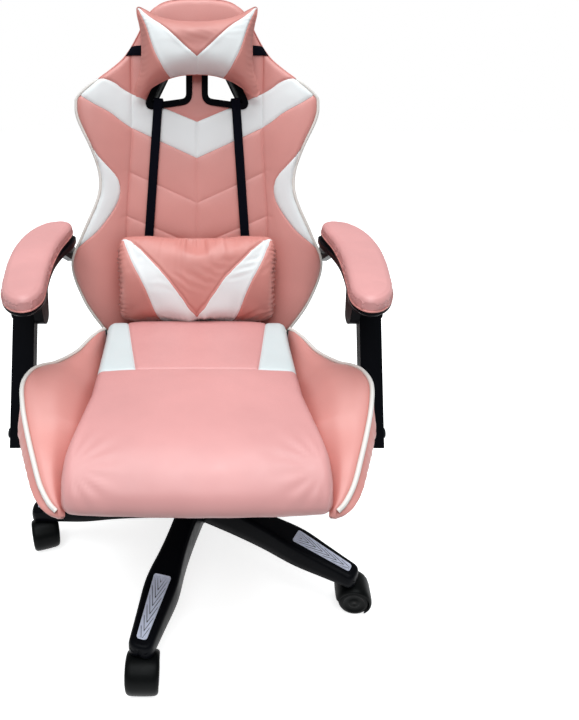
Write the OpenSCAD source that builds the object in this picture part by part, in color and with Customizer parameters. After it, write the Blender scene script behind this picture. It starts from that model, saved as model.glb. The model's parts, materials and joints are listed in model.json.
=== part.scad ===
// Reclining swivel chair with racing-style bolsters, a head pillow, a lumbar
// pillow and armrests that fold down with the back.
// Origin: centre of the five-star base, on the floor. +Z is up and the sitter
// faces -Y. Left and right are the sitter's own, so left is +X.

/* [Base] */
// Radius of the circle through the five caster stems
stem_circle_r = 350; // [300:1:420]
// Turn of the first leg away from straight ahead, in degrees
base_turn = -15.3; // [-36:0.1:36]
// Outer radius of the hub
hub_r = 42; // [36:1:50]
// Thickness of a leg at its tip, where it holds the stem
leg_tip_h = 25; // [20:1:35]
// Leg width beside the hub
leg_root_w = 51; // [40:1:60]
// Leg width at the knee, its widest place
leg_knee_w = 63; // [50:1:75]
// Leg width at the tip
leg_tip_w = 43; // [36:1:55]
// Distance from the knee to the caster stem
leg_shin = 105; // [80:1:130]
// Drop of the leg's top from the hub to the knee
leg_knee_drop = 14; // [5:1:25]
// Drop of the leg's top from the knee to the tip
leg_tip_drop = 24; // [10:1:30]
// Wall of the hollow leg
leg_wall = 5; // [3:0.5:8]
// Width of the pale inlay at its wide end
inlay_w = 31; // [20:1:40]

/* [Casters] */
// Radius of a wheel
wheel_r = 30; // [25:0.5:35]
// Width of one wheel of a pair
wheel_w = 20; // [15:0.5:24]
// Thickness of the web between the wheels
web_w = 12; // [8:0.5:16]
// Distance from the stem axis to the axle
caster_trail = 18; // [14:0.5:24]
// Radius of the stem
stem_r = 5.5; // [4:0.25:6]
// Radius of the wheel axle
axle_r = 4; // [3:0.25:5]
// Wall of the hood over the wheels
hood_wall = 2.5; // [2:0.25:3]

/* [Gas lift] */
// Outer radius of the column tube
column_r = 25; // [22:0.5:28]
// Length of the column tube
column_len = 225; // [205:1:300]
// Height adjustment
lift_stroke = 80; // [50:1:90]
// Radius of the sliding cylinder
cylinder_r = 14; // [12:0.5:15]
// Radius of the piston rod
rod_r = 5; // [4:0.5:6]
// Wall of the telescopic covers
cover_wall = 2; // [1.5:0.25:3]

/* [Tilt mechanism] */
// Width of the housing
mech_w = 96; // [80:1:110]
// Height from the housing's underside to the seat plate
mech_h = 61; // [55:1:75]
// Steel thickness
steel_t = 3; // [2.5:0.25:4]
// Radius of the tilt pin
tilt_pin_r = 6; // [5:0.5:8]
// Radius of the tension knob
knob_r = 24; // [18:1:28]
// Reach of the lift lever from the centre line
lever_reach = 262; // [220:1:280]
// Radius of the lever's rod
lever_rod_r = 4; // [3:0.5:5]

/* [Seat] */
// Half width of the centre cushion at its rear
cushion_half_w = 200; // [180:1:210]
// Distance from the column to the seat's rear edge
seat_rear = 139; // [120:1:170]
// Distance from the column to the seat's front edge
seat_front = 381; // [340:1:430]
// Height of the centre cushion above the board
cushion_h = 92; // [70:1:110]
// Thickness of the seat board
board_t = 12; // [9:1:18]
// Half width over the side bolsters
bolster_half_w = 303; // [285:1:310]
// Height of the bolster crest above the board's underside
bolster_h = 128; // [100:1:140]

/* [Back] */
// Lean of the back from upright, in degrees
back_lean = 12.2; // [5:0.1:20]
// Length of the back above its lower corners
back_len = 732; // [650:1:800]
// Half width at the hips
hip_half_w = 289; // [260:1:295]
// Half width at the waist
waist_half_w = 219; // [195:1:240]
// Half width at the shoulders
shoulder_half_w = 266; // [235:1:290]
// Half width of the centre panel, to its seams
panel_half_w = 144; // [130:1:150]
// Depth of the whole back
back_t = 92; // [80:1:110]
// How far the side wings stand in front of the centre panel
wing_rise = 28; // [15:1:40]
// Radius of the frame tubes
frame_tube_r = 9; // [7:0.5:10]
// Rim of the belt openings
slot_rim = 13; // [9:0.5:16]

/* [Pillows and straps] */
// Width of the lumbar pillow
lumbar_w = 344; // [280:1:360]
// Height of the lumbar pillow
lumbar_h = 182; // [150:1:200]
// Thickness of the lumbar pillow
lumbar_t = 88; // [60:1:95]
// Width of the head pillow
head_w = 252; // [220:1:270]
// Height of the head pillow
head_h = 172; // [140:1:190]
// Thickness of the head pillow
head_t = 68; // [50:1:80]
// Width of the webbing
strap_w = 20; // [15:1:25]
// Thickness of the webbing
strap_t = 2; // [1.5:0.25:3]

/* [Armrests] */
// Length of the post between its pivots
post_len = 220; // [200:1:250]
// Lean of the post from upright, in degrees
post_lean = 24.7; // [18:0.1:28]
// Width of the post across the chair
post_w = 40; // [32:1:46]
// Depth of the post fore and aft
post_d = 22; // [18:1:26]
// Thickness of the pad
pad_t = 30; // [22:1:38]
// Radius of the linkage pins
pin_r = 5; // [4:0.5:6]

/* [Fits] */
// Radial clearance of a running fit
run_gap = 0.05; // [0.02:0.01:0.09]
// Radial clearance at the linkage's free pivot
free_gap = 0.4; // [0.35:0.05:1]
// Clearance between a piece and its neighbour
part_gap = 0.5; // [0.4:0.1:1]

/* [Hidden] */
CASTER_PARTS = ["hood", "pins", "wheel_left", "wheel_right"];

$fn = 64;
hull_fn = 20;
big = 2000;
pink = [0.90, 0.60, 0.58];
plastic = [0.06, 0.065, 0.08];
steel = [0.10, 0.10, 0.11];
zinc = [0.62, 0.63, 0.65];
inlay_grey = [0.80, 0.81, 0.88];

// Base
leg_count = 5;
leg_bottom_z = 2 * wheel_r + 7;
hub_bottom_z = leg_bottom_z - 7;
tip_z = leg_bottom_z + leg_tip_h;
knee_z = tip_z + leg_tip_drop;
hub_top_z = knee_z + leg_knee_drop;
hub_h = hub_top_z - hub_bottom_z;
stem_grip = leg_tip_h - 4;
knee_r = stem_circle_r - leg_shin;
neck_r = knee_r - 45;
tip_r = stem_circle_r + 22;
tip_corner = 8;
hub_lip = 2;
shin_slope = atan((knee_z - tip_z) / (tip_r - knee_r));
inlay_len = (tip_r - knee_r) / cos(shin_slope) - 16;
inlay_tip_w = inlay_w * 0.56;
inlay_t = 3;
inlay_sink = 1.5;

// Casters: direction in which each one trails, in degrees from +X
caster_heading = [-90, -8, 60, 150, -70];
wheel_gap = 1;
wheel_inner = web_w / 2 + wheel_gap;
wheel_outer = wheel_inner + wheel_w;
hood_gap = 1.5;
hood_r = wheel_r + hood_gap + hood_wall;
hood_half_w = wheel_outer - 1;
stem_foot_z = 2 * wheel_r - 3;
boss_r = stem_r + 4;
boss_top_z = leg_bottom_z - 1;

// Column and mechanism
column_top_z = hub_bottom_z + column_len;
mech_z = column_top_z + 21;
taper = 1.1;
guide_h = 40;
cylinder_foot_z = hub_bottom_z + 26;
cone_h = 34;
plate_z = mech_z + mech_h;
tilt_y = -90;
tilt_z = plate_z - 20;
housing_front = -140;
housing_rear = 60;
housing_rear_h = 22;
knob_y = -118;
knob_h = 34;
lever_y = -35;
lever_z = mech_z + 20;
bush_r = 9;
cover_gap = 1;
cover_step = cover_wall + cover_gap;
cover_r = column_r + 4;
cover_len = 100;

// Seat
board_z = plate_z + steel_t;
cushion_z = board_z + board_t + part_gap;
seat_z = cushion_z + cushion_h;
board_half_w = cushion_half_w - 16;
board_front = seat_front - 26;
bolster_z = board_z;
bolt_r = 4;
bolt_x = 85;
bolt_front_y = -165;
bolt_rear_y = 45;
bracket_in = 150;
bracket_w = 44;

// Linkage pivots in the Y-Z plane: recline, post foot, post top, arm to back
recline_pivot = [seat_rear + 16, board_z + 40];
foot_pivot = [-155, board_z + 7];
top_pivot = foot_pivot + post_len * [sin(post_lean), cos(post_lean)];
rear_pivot = top_pivot + recline_pivot - foot_pivot;
bracket_x = 293.5;
bracket_t = 4;
post_x = bracket_x + bracket_t + 2.5;
lug_x = 281.5;
rear_lug_x = hip_half_w + 3.5;
rear_lug_t = 16;
hinge_x = max(board_half_w, cushion_half_w) + 6;
hinge_t = 5;
hinge_pin_r = 8;
hinge_plate_r = 22;
cover_disc_r = 30;
cover_disc_t = 8;
lever_hub_x = hinge_x + 2 * hinge_t + cover_disc_t + 4;

// Back, in its own frame: x across, y to the rear, z along the back
back_origin = recline_pivot + [4, 40];
pivot_w = (recline_pivot - back_origin) * [cos(back_lean), -sin(back_lean)];
pivot_v = (recline_pivot - back_origin) * [sin(back_lean), cos(back_lean)];
arm_w = (rear_pivot - back_origin) * [cos(back_lean), -sin(back_lean)];
arm_v = (rear_pivot - back_origin) * [sin(back_lean), cos(back_lean)];
cover_skin_t = 10;
tube_w = back_t - cover_skin_t - frame_tube_r - part_gap;
front_t = tube_w - frame_tube_r - part_gap;
upright_x = panel_half_w - frame_tube_r - 6;
low_bar_v = 40;
frame_top_v = back_len - 52;
weld = 0.4;
shoulder_v = back_len - 232;
slot_v = shoulder_v;
slot_h = 112;
slot_in = 12;
slot_out = 113;
slot_out_top = 64;
slot_fall = 10;
trim_t = 1.6;
strap_front = wing_rise - trim_t - 0.2 - part_gap - strap_t;
strap_top_x = 86;
strap_splay = 4.7;
strap_top_v = slot_v + slot_rim + 12;
strap_foot_v = -57;
lumbar_v = 34;
head_v = back_len - 206;
head_strap_v = back_len - 124;
head_strap_half_w = 170;

// Armrests: a pad sloping down to the front
pad_slope = 6.84;
pad_y = 130;
pad_z = board_z + 335;
tray_t = 10;

function catmull(a, b, c, d, t) =
    0.5 * (2 * b + (c - a) * t + (2 * a - 5 * b + 4 * c - d) * t * t
           + (3 * b - a - 3 * c + d) * t * t * t);
// A smooth line through the points p, with n steps between two points
function smooth(p, n = 4) = concat(
    [for (i = [0:len(p) - 2]) for (j = [0:n - 1])
        catmull(p[max(i - 1, 0)], p[i], p[i + 1], p[min(i + 2, len(p) - 1)], j / n)],
    [p[len(p) - 1]]);
function flip(p) = [for (i = [len(p) - 1:-1:0]) [-p[i][0], p[i][1]]];

// Half outline of the back, from its lower edge to its top: [half width, height]
back_half = smooth([
    [150, -52], [178, -42], [203, -14], [219, 3], [hip_half_w - 27, 70],
    [hip_half_w, 150], [hip_half_w - 27, 218], [waist_half_w + 6, 300], [waist_half_w, 352],
    [shoulder_half_w - 32, shoulder_v - 92], [shoulder_half_w - 4, shoulder_v - 28],
    [shoulder_half_w, shoulder_v + 4], [shoulder_half_w - 7, shoulder_v + 24],
    [217, back_len - 172], [170, back_len - 132], [147, back_len - 102],
    [129, back_len - 72], [108, back_len - 32], [76, back_len - 8], [30, back_len]]);

// Half outline of the centre cushion, rear to front
cushion_half = smooth([
    [cushion_half_w - 20, seat_rear], [cushion_half_w - 3, seat_rear - 6],
    [cushion_half_w, seat_rear - 20], [cushion_half_w - 7, -60],
    [cushion_half_w - 11, -0.43 * seat_front], [cushion_half_w - 9, 60 - seat_front],
    [cushion_half_w - 17, 20 - seat_front], [cushion_half_w - 42, 4 - seat_front],
    [0, -seat_front]]);

// Outer edge of the left bolster, rear to front
bolster_edge = smooth([
    [cushion_half_w + 6, 94], [bolster_half_w - 66, -14], [bolster_half_w - 40, -84],
    [bolster_half_w - 16, -112], [bolster_half_w - 11, -130], [bolster_half_w - 11, -185],
    [bolster_half_w - 1, -206], [bolster_half_w, 156 - seat_front],
    [bolster_half_w - 18, 119 - seat_front], [bolster_half_w - 48, 69 - seat_front],
    [cushion_half_w + 27, 35 - seat_front], [cushion_half_w - 6, 9 - seat_front]], 3);

// Outline of the left armrest pad in plan
pad_outline = smooth([
    [256, 128], [262, 150], [298, 157], [330, 141], [350, 90], [353, 20], [345, -46],
    [333, -108], [322, -156], [311, -188], [292, -212], [272, -221], [257, -210],
    [250, -180], [258, -128], [266, -70], [270, -12], [266, 48], [256, 96], [256, 128]], 3);

module each_leg() {
    for (i = [0:leg_count - 1])
        rotate([0, 0, base_turn - 90 + i * 360 / leg_count]) children();
}

// Flat side profiles are drawn in Y-Z and given a width along X
module along_x(x0, x1) {
    translate([x0, 0, 0]) rotate([90, 0, 90]) linear_extrude(x1 - x0) children();
}

// Front outlines are drawn in X-Z and given a depth along Y
module along_y(y0, y1) {
    translate([0, y1, 0]) rotate([90, 0, 0]) linear_extrude(y1 - y0) children();
}

module bar_x(x0, x1, r, at) {
    translate([x0, at[0], at[1]]) rotate([0, 90, 0]) cylinder(h = x1 - x0, r = r);
}

module both_sides() {
    children();
    mirror([1, 0, 0]) children();
}

module on_back() {
    translate([0, back_origin[0], back_origin[1]]) rotate([-back_lean, 0, 0]) children();
}

module rounded_block(lo, hi, r) {
    hull() for (x = [lo[0] + r, hi[0] - r]) for (y = [lo[1] + r, hi[1] - r])
        for (z = [lo[2] + r, hi[2] - r]) translate([x, y, z]) sphere(r = r, $fn = hull_fn);
}

// ---- five-star base ----
module leg_solid(inset, top_drop, r0, r1) {
    intersection() {
        translate([0, 0, hub_bottom_z - 10]) linear_extrude(hub_h + 30) polygon([
            [r0, inset - leg_root_w / 2], [neck_r, inset - leg_root_w / 2],
            [knee_r, inset - leg_knee_w / 2], [r1 - tip_corner, inset - leg_tip_w / 2],
            [r1, inset - leg_tip_w / 2 + tip_corner], [r1, leg_tip_w / 2 - tip_corner - inset],
            [r1 - tip_corner, leg_tip_w / 2 - inset], [knee_r, leg_knee_w / 2 - inset],
            [neck_r, leg_root_w / 2 - inset], [r0, leg_root_w / 2 - inset]]);
        along_y(-leg_knee_w, leg_knee_w) polygon([
            [0, hub_bottom_z + 6 - top_drop], [tip_r, leg_bottom_z - top_drop],
            [tip_r, tip_z - top_drop], [knee_r, knee_z - top_drop],
            [0, hub_top_z - hub_lip - top_drop]]);
    }
}

module on_shin() {
    translate([knee_r, 0, knee_z]) rotate([0, shin_slope, 0]) children();
}

module inlay_plate(grow, z0, z1) {
    wide = inlay_w / 2 + grow;
    slim = inlay_tip_w / 2 + grow;
    cut = 4;
    translate([0, 0, z0]) linear_extrude(z1 - z0) polygon([
        [-grow, cut - wide], [cut - grow, -wide], [inlay_len - cut + grow, -slim],
        [inlay_len + grow, cut - slim], [inlay_len + grow, slim - cut],
        [inlay_len - cut + grow, slim], [cut - grow, wide], [-grow, wide - cut]]);
}

module star_base() {
    color(plastic) difference() {
        union() {
            translate([0, 0, hub_bottom_z]) cylinder(h = hub_h, r = hub_r);
            each_leg() difference() {
                leg_solid(0, 0, 0, tip_r);
                leg_solid(leg_wall, leg_wall + inlay_sink, hub_r + leg_wall, stem_circle_r - 18);
            }
        }
        translate([0, 0, hub_bottom_z])
            cylinder(h = hub_h, r1 = column_r - taper + run_gap, r2 = column_r + run_gap);
        each_leg() {
            translate([stem_circle_r, 0, leg_bottom_z - 5])
                cylinder(h = stem_grip + 6.5, r = stem_r + run_gap);
            on_shin() inlay_plate(0.2, -inlay_sink, inlay_t);
        }
    }
}

module leg_inlays() {
    color(inlay_grey) each_leg() on_shin()
        inlay_plate(0, 0.1 - inlay_sink, inlay_t - inlay_sink);
}

// ---- casters ----
module at_caster(i) {
    rotate([0, 0, base_turn - 90 + i * 360 / leg_count]) translate([stem_circle_r, 0, 0])
        rotate([0, 0, caster_heading[i] - base_turn + 90 - i * 360 / leg_count]) children();
}

module wheel_disc(y0, y1, r) {
    translate([caster_trail, y1, wheel_r]) rotate([90, 0, 0]) cylinder(h = y1 - y0, r = r);
}

module caster_hood(i) {
    color(plastic) at_caster(i) difference() {
        union() {
            intersection() {
                wheel_disc(-hood_half_w, hood_half_w, hood_r);
                translate([-big / 2, -big / 2, wheel_r - 2]) cube([big, big, wheel_r * 2]);
            }
            wheel_disc(-web_w / 2, web_w / 2, wheel_r - 6);
            translate([0, 0, stem_foot_z - 2])
                cylinder(h = boss_top_z - stem_foot_z + 2, r = boss_r);
        }
        wheel_disc(-hood_half_w - 1, -web_w / 2, hood_r - hood_wall);
        wheel_disc(web_w / 2, hood_half_w + 1, hood_r - hood_wall);
        translate([0, 0, stem_foot_z]) cylinder(h = stem_grip + 20, r = stem_r + run_gap);
        wheel_disc(-web_w, web_w, axle_r + run_gap);
    }
}

module caster_pins(i) {
    color(zinc) at_caster(i) {
        translate([0, 0, stem_foot_z + 0.2])
            cylinder(h = leg_bottom_z + stem_grip - stem_foot_z, r = stem_r);
        wheel_disc(2 - wheel_outer, wheel_outer - 2, axle_r);
    }
}

module caster_wheel(i, side) {
    edge = 3;
    dish = 2.5;
    color(plastic) at_caster(i) translate([caster_trail, 0, wheel_r]) rotate([-90 * side, 0, 0])
        translate([0, 0, wheel_inner]) rotate_extrude() polygon([
            [axle_r + run_gap, 0], [wheel_r - edge, 0], [wheel_r, edge],
            [wheel_r, wheel_w - edge], [wheel_r - edge, wheel_w], [wheel_r * 0.66, wheel_w],
            [wheel_r * 0.6, wheel_w - dish], [axle_r + 4, wheel_w - dish],
            [axle_r + 3, wheel_w - 1], [axle_r + run_gap, wheel_w - 1]]);
}

// ---- gas lift ----
module column_tube() {
    floor_t = 4;
    color(steel) difference() {
        union() {
            translate([0, 0, hub_bottom_z])
                cylinder(h = hub_h, r1 = column_r - taper, r2 = column_r);
            translate([0, 0, hub_top_z]) cylinder(h = column_len - hub_h, r = column_r);
        }
        translate([0, 0, hub_bottom_z + floor_t])
            cylinder(h = column_len - floor_t - guide_h, r = column_r - 3);
        translate([0, 0, hub_bottom_z - 1]) cylinder(h = floor_t + 2, r = rod_r + run_gap);
        translate([0, 0, column_top_z - guide_h - 1])
            cylinder(h = guide_h + 2, r = cylinder_r + run_gap);
    }
}

module piston_rod() {
    collar_z = hub_bottom_z + 4.5;
    piston_z = cylinder_foot_z + lift_stroke + 18;
    color(zinc) {
        translate([0, 0, hub_bottom_z - 3]) cylinder(h = piston_z - hub_bottom_z + 13, r = rod_r);
        translate([0, 0, collar_z]) cylinder(h = 6, r = rod_r + 5);
        translate([0, 0, hub_bottom_z - 3]) cylinder(h = 2.5, r = rod_r + 3);
        translate([0, 0, piston_z]) cylinder(h = 10, r = cylinder_r - 2 - run_gap);
    }
}

module gas_cylinder() {
    foot = 12;
    color(zinc) difference() {
        union() {
            translate([0, 0, cylinder_foot_z])
                cylinder(h = mech_z - cylinder_foot_z, r = cylinder_r);
            translate([0, 0, mech_z]) cylinder(h = cone_h, r1 = cylinder_r, r2 = cylinder_r - 0.8);
            translate([0, 0, mech_z + cone_h - 1]) cylinder(h = 4, r = 4);
        }
        translate([0, 0, cylinder_foot_z + foot])
            cylinder(h = mech_z - cylinder_foot_z - foot - 8, r = cylinder_r - 2);
        translate([0, 0, cylinder_foot_z - 1]) cylinder(h = foot + 2, r = rod_r + run_gap);
    }
}

// Stage 0 stands on the hub, stage 1 floats and stage 2 hangs from the housing
module cover_stage(stage, z0, z1) {
    outer = cover_r + stage * cover_step;
    color(plastic) translate([0, 0, z0]) difference() {
        cylinder(h = z1 - z0, r = outer);
        translate([0, 0, -1]) cylinder(h = z1 - z0 + 2, r = outer - cover_wall);
    }
}

module cover_lower() cover_stage(0, hub_top_z + part_gap, hub_top_z + cover_len);
module cover_middle() {
    mid = (hub_top_z + mech_z) / 2;
    cover_stage(1, mid - cover_len / 2, mid + cover_len / 2);
}
module cover_upper() cover_stage(2, mech_z - cover_len, mech_z - part_gap);

// ---- tilt mechanism ----
module mechanism_housing() {
    wall_x = mech_w / 2;
    low_z = plate_z - 15;
    color(steel) difference() {
        union() {
            difference() {
                along_x(-wall_x, wall_x) polygon([
                    [housing_front, mech_z], [housing_rear, mech_z],
                    [housing_rear, mech_z + housing_rear_h], [tilt_y + 12, low_z],
                    [tilt_y - 12, low_z], [housing_front, mech_z + 20]]);
                translate([-wall_x + steel_t, housing_front + steel_t, mech_z + steel_t])
                    cube([mech_w - 2 * steel_t, housing_rear - housing_front - 2 * steel_t, mech_h]);
            }
            translate([0, 0, mech_z]) cylinder(h = cone_h - 2, r = cylinder_r + 6);
        }
        translate([0, 0, mech_z - 1])
            cylinder(h = cone_h + 2, r1 = cylinder_r + run_gap, r2 = cylinder_r - 0.8 + run_gap);
        bar_x(-mech_w, mech_w, tilt_pin_r + run_gap, [tilt_y, tilt_z]);
        translate([-wall_x - 1, lever_y, lever_z]) rotate([0, 90, 0])
            cylinder(h = steel_t + 2, r = bush_r + 4);
        translate([0, knob_y, mech_z - 1]) cylinder(h = steel_t + 2, r = 5 + run_gap);
    }
}

module tension_knob() {
    lobes = 8;
    color(plastic) {
        difference() {
            translate([0, knob_y, mech_z - knob_h - 2]) cylinder(h = knob_h, r = knob_r);
            for (i = [0:lobes - 1]) translate([0, knob_y, mech_z - knob_h - 3])
                rotate([0, 0, i * 360 / lobes]) translate([knob_r + 4, 0, 0])
                    cylinder(h = knob_h - 8, r = 6.5);
        }
        translate([0, knob_y, mech_z - 3]) cylinder(h = 27, r = 5);
        translate([0, knob_y, mech_z + 16]) cylinder(h = 7, r = 13);
    }
}

// The bush rocks on a fore-and-aft axis through its centre, inside the wall's hole
module lever_bush() {
    color(plastic) translate([-mech_w / 2 - 3, lever_y, lever_z]) rotate([0, 90, 0]) difference() {
        cylinder(h = steel_t + 6, r = bush_r);
        translate([0, 0, -1]) cylinder(h = steel_t + 8, r = lever_rod_r + run_gap);
    }
}

module lift_lever() {
    color(steel) translate([-lever_reach + 20, lever_y, lever_z]) rotate([0, 90, 0])
        cylinder(h = lever_reach - 20 - 28, r = lever_rod_r);
}

module lever_grip() {
    grip_len = 62;
    color(plastic) difference() {
        along_y(lever_y - 11, lever_y + 11) polygon([
            [-lever_reach, lever_z - 5], [-lever_reach + 4, lever_z - 7],
            [-lever_reach + grip_len, lever_z - 7], [-lever_reach + grip_len, lever_z + 6],
            [-lever_reach + 4, lever_z + 6], [-lever_reach, lever_z + 4]]);
        translate([-lever_reach + 19.5, lever_y, lever_z]) rotate([0, 90, 0])
            cylinder(h = grip_len, r = lever_rod_r + run_gap);
    }
}

module seat_bolt_places() {
    for (x = [-bolt_x, bolt_x]) for (y = [bolt_front_y, bolt_rear_y])
        translate([x, y, plate_z]) children();
}

module tilt_plate() {
    flange_x = mech_w / 2 + 2;
    color(steel) difference() {
        union() {
            translate([-bolt_x - 17, bolt_front_y - 20, plate_z])
                cube([2 * bolt_x + 34, bolt_rear_y - bolt_front_y + 40, steel_t - 0.2]);
            both_sides() along_x(flange_x, flange_x + steel_t) polygon([
                [tilt_y - 30, plate_z], [tilt_y - 12, tilt_z - 12], [tilt_y + 12, tilt_z - 12],
                [tilt_y + 30, plate_z]]);
        }
        seat_bolt_places() translate([0, 0, -1]) cylinder(h = steel_t + 2, r = bolt_r + 0.2);
        bar_x(-mech_w, mech_w, tilt_pin_r + run_gap, [tilt_y, tilt_z]);
    }
}

module tilt_pin() {
    reach = mech_w / 2 + steel_t + 3;
    color(zinc) {
        bar_x(-reach - 2, reach + 2, tilt_pin_r, [tilt_y, tilt_z]);
        both_sides() bar_x(reach, reach + 3, tilt_pin_r + 4, [tilt_y, tilt_z]);
    }
}

module seat_bolts() {
    head_h = 5;
    color(zinc) {
        seat_bolt_places() {
            translate([0, 0, -head_h - 0.1]) cylinder(h = head_h, r = bolt_r + 3.5);
            translate([0, 0, -1]) cylinder(h = steel_t + board_t - 1, r = bolt_r);
        }
        both_sides() for (y = [foot_pivot[0] - 12, foot_pivot[0] + 12, seat_rear - 60, seat_rear - 20])
            translate([bracket_in + 18, y, plate_z - 0.1]) {
                translate([0, 0, -head_h]) cylinder(h = head_h, r = bolt_r + 3.5);
                translate([0, 0, -1]) cylinder(h = steel_t + board_t - 1, r = bolt_r);
            }
    }
}

// ---- seat ----
module seat_board() {
    color([0.72, 0.58, 0.42]) difference() {
        translate([0, 0, board_z]) linear_extrude(board_t) polygon([
            [-board_half_w, seat_rear - 6], [-board_half_w, 40 - board_front],
            [-board_half_w + 40, -board_front], [board_half_w - 40, -board_front],
            [board_half_w, 40 - board_front], [board_half_w, seat_rear - 6]]);
        seat_bolt_places() cylinder(h = steel_t + board_t + 1, r = bolt_r + 0.2);
        both_sides() for (y = [foot_pivot[0] - 12, foot_pivot[0] + 12, seat_rear - 60, seat_rear - 20])
            translate([bracket_in + 18, y, plate_z]) cylinder(h = steel_t + board_t + 1, r = bolt_r + 0.2);
    }
}

module seat_cushion() {
    top = seat_z;
    lip = board_z;
    color(pink) intersection() {
        translate([0, 0, lip - 10]) linear_extrude(cushion_h + 60)
            polygon(concat(cushion_half, flip(cushion_half)));
        along_x(-cushion_half_w - 5, cushion_half_w + 5) polygon(concat(
            [[seat_rear + 5, cushion_z]],
            smooth([[seat_rear, top - 24], [seat_rear - 6, top - 6], [seat_rear - 30, top],
                    [-74, top - 2], [-250, top - 6], [50 - seat_front, top - 14],
                    [14 - seat_front, top - 34], [2 - seat_front, top - 62],
                    [-seat_front, lip + 22], [8 - seat_front, lip]]),
            [[-board_front - 1, lip], [-board_front - 1, cushion_z]]));
    }
}

module seat_bolsters() {
    crest = bolster_z + bolster_h;
    inner = [for (p = cushion_half) if (p[1] < 94 && p[1] > 10 - seat_front) [p[0] + part_gap, p[1]]];
    outer = [for (i = [len(bolster_edge) - 1:-1:0]) bolster_edge[i]];
    color(pink) both_sides() intersection() {
        translate([0, 0, bolster_z - 5]) linear_extrude(bolster_h + 20) polygon(concat(inner, outer));
        along_x(cushion_half_w - 20, bolster_half_w + 5) polygon(concat(
            [[100, bolster_z]],
            smooth([[100, crest - 24], [-14, crest - 10], [-84, crest - 4], [-130, crest],
                    [-175, crest - 10], [166 - seat_front, crest - 28], [125 - seat_front, crest - 50],
                    [73 - seat_front, crest - 70], [39 - seat_front, crest - 90],
                    [8 - seat_front, bolster_z + 8]]),
            [[-seat_front, bolster_z]]));
        along_y(-seat_front, 110) polygon([
            [cushion_half_w - 20, bolster_z], [bolster_half_w - 6, bolster_z],
            [bolster_half_w, bolster_z + 25], [bolster_half_w, crest - 6],
            [bolster_half_w - 10, crest], [bolster_half_w - 25, crest],
            [cushion_half_w - 20, seat_z - 26]]);
    }
}

// An angle bracket under the board, with an upright ear at x
module side_bracket(x, t, y0, y1, in_x) {
    translate([in_x, y0, plate_z]) cube([x + t - in_x, y1 - y0, steel_t - 0.2]);
    children();
}

module post_brackets() {
    y0 = foot_pivot[0] - bracket_w / 2;
    y1 = foot_pivot[0] + bracket_w / 2;
    color(steel) both_sides() difference() {
        union() {
            side_bracket(bracket_x, bracket_t, y0, y1, bracket_in);
            along_x(bracket_x, bracket_x + bracket_t) polygon([
                [y0, plate_z], [y1, plate_z], [y1, foot_pivot[1] + 8], [y1 - 12, foot_pivot[1] + 20],
                [y0 + 12, foot_pivot[1] + 20], [y0, foot_pivot[1] + 8]]);
            bar_x(bracket_x + 1, post_x + post_w + 1.5, pin_r, foot_pivot);
            bar_x(post_x + post_w + 0.8, post_x + post_w + 4, pin_r + 4, foot_pivot);
        }
        for (y = [foot_pivot[0] - 12, foot_pivot[0] + 12]) translate([bracket_in + 18, y, plate_z - 1])
            cylinder(h = steel_t + 2, r = bolt_r + 0.2);
    }
}

module seat_hinge_plates() {
    y0 = seat_rear - 78;
    y1 = recline_pivot[0] + hinge_plate_r;
    ear_y = seat_rear - 38;
    color(steel) both_sides() difference() {
        union() {
            side_bracket(hinge_x - 6, 6, y0, seat_rear - 4, bracket_in);
            along_x(hinge_x, hinge_x + hinge_t) difference() {
                union() {
                    polygon([[ear_y, plate_z], [seat_rear, plate_z], [y1, recline_pivot[1]],
                             [recline_pivot[0] - hinge_plate_r, recline_pivot[1]], [ear_y, plate_z + 20]]);
                    translate(recline_pivot) circle(r = hinge_plate_r);
                }
            }
            translate([hinge_x - 7, ear_y, plate_z]) cube([8, seat_rear - 4 - ear_y, steel_t - 0.2]);
            bar_x(hinge_x + 1, hinge_x + 2 * hinge_t + 1.5, hinge_pin_r, recline_pivot);
            bar_x(hinge_x + 1, lever_hub_x + 9, hinge_pin_r - 2, recline_pivot);
        }
        for (y = [seat_rear - 60, seat_rear - 20]) translate([bracket_in + 18, y, plate_z - 1])
            cylinder(h = steel_t + 2, r = bolt_r + 0.2);
    }
}

module hinge_covers() {
    x0 = hinge_x + 2 * hinge_t + 2;
    color(plastic) both_sides() difference() {
        bar_x(x0, x0 + cover_disc_t, cover_disc_r, recline_pivot);
        bar_x(x0 - 1, x0 + cover_disc_t + 1, hinge_pin_r - 2 + run_gap, recline_pivot);
    }
}

module recline_lever() {
    reach = 92;
    color(plastic) mirror([1, 0, 0]) difference() {
        union() {
            bar_x(lever_hub_x, lever_hub_x + 9, 14, recline_pivot);
            along_x(lever_hub_x, lever_hub_x + 9) translate(recline_pivot) polygon([
                [0, 13], [-reach + 8, 16], [-reach, 8], [-reach, 0], [-reach + 8, -6], [0, -13]]);
        }
        bar_x(lever_hub_x - 1, lever_hub_x + 10, hinge_pin_r - 2 + run_gap, recline_pivot);
    }
}

// ---- back ----
module back_outline() {
    polygon(concat(back_half, flip(back_half)));
}

module slot_outline(grow) {
    lo = slot_v + grow;
    hi = slot_v + slot_h - grow;
    polygon([
        [slot_in + grow, lo + slot_fall + 6], [slot_in + grow + 6, lo + slot_fall],
        [slot_out - grow - 16, lo], [slot_out - grow - 6, lo + 4], [slot_out - grow, lo + 16],
        [slot_out_top - grow + 4, hi - 8], [slot_out_top - grow - 6, hi],
        [slot_in + grow + 6, hi], [slot_in + grow, hi - 6]]);
}

module slot_holes(w0, w1) {
    both_sides() along_y(w0, w1) slot_outline(0);
}

module back_panel() {
    color(pink) on_back() difference() {
        intersection() {
            along_y(wing_rise, wing_rise + front_t - wing_rise) back_outline();
            translate([-panel_half_w + part_gap / 2, -big / 2, -big / 2])
                cube([2 * panel_half_w - part_gap, big, big]);
        }
        slot_holes(0, back_t);
    }
}

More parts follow.
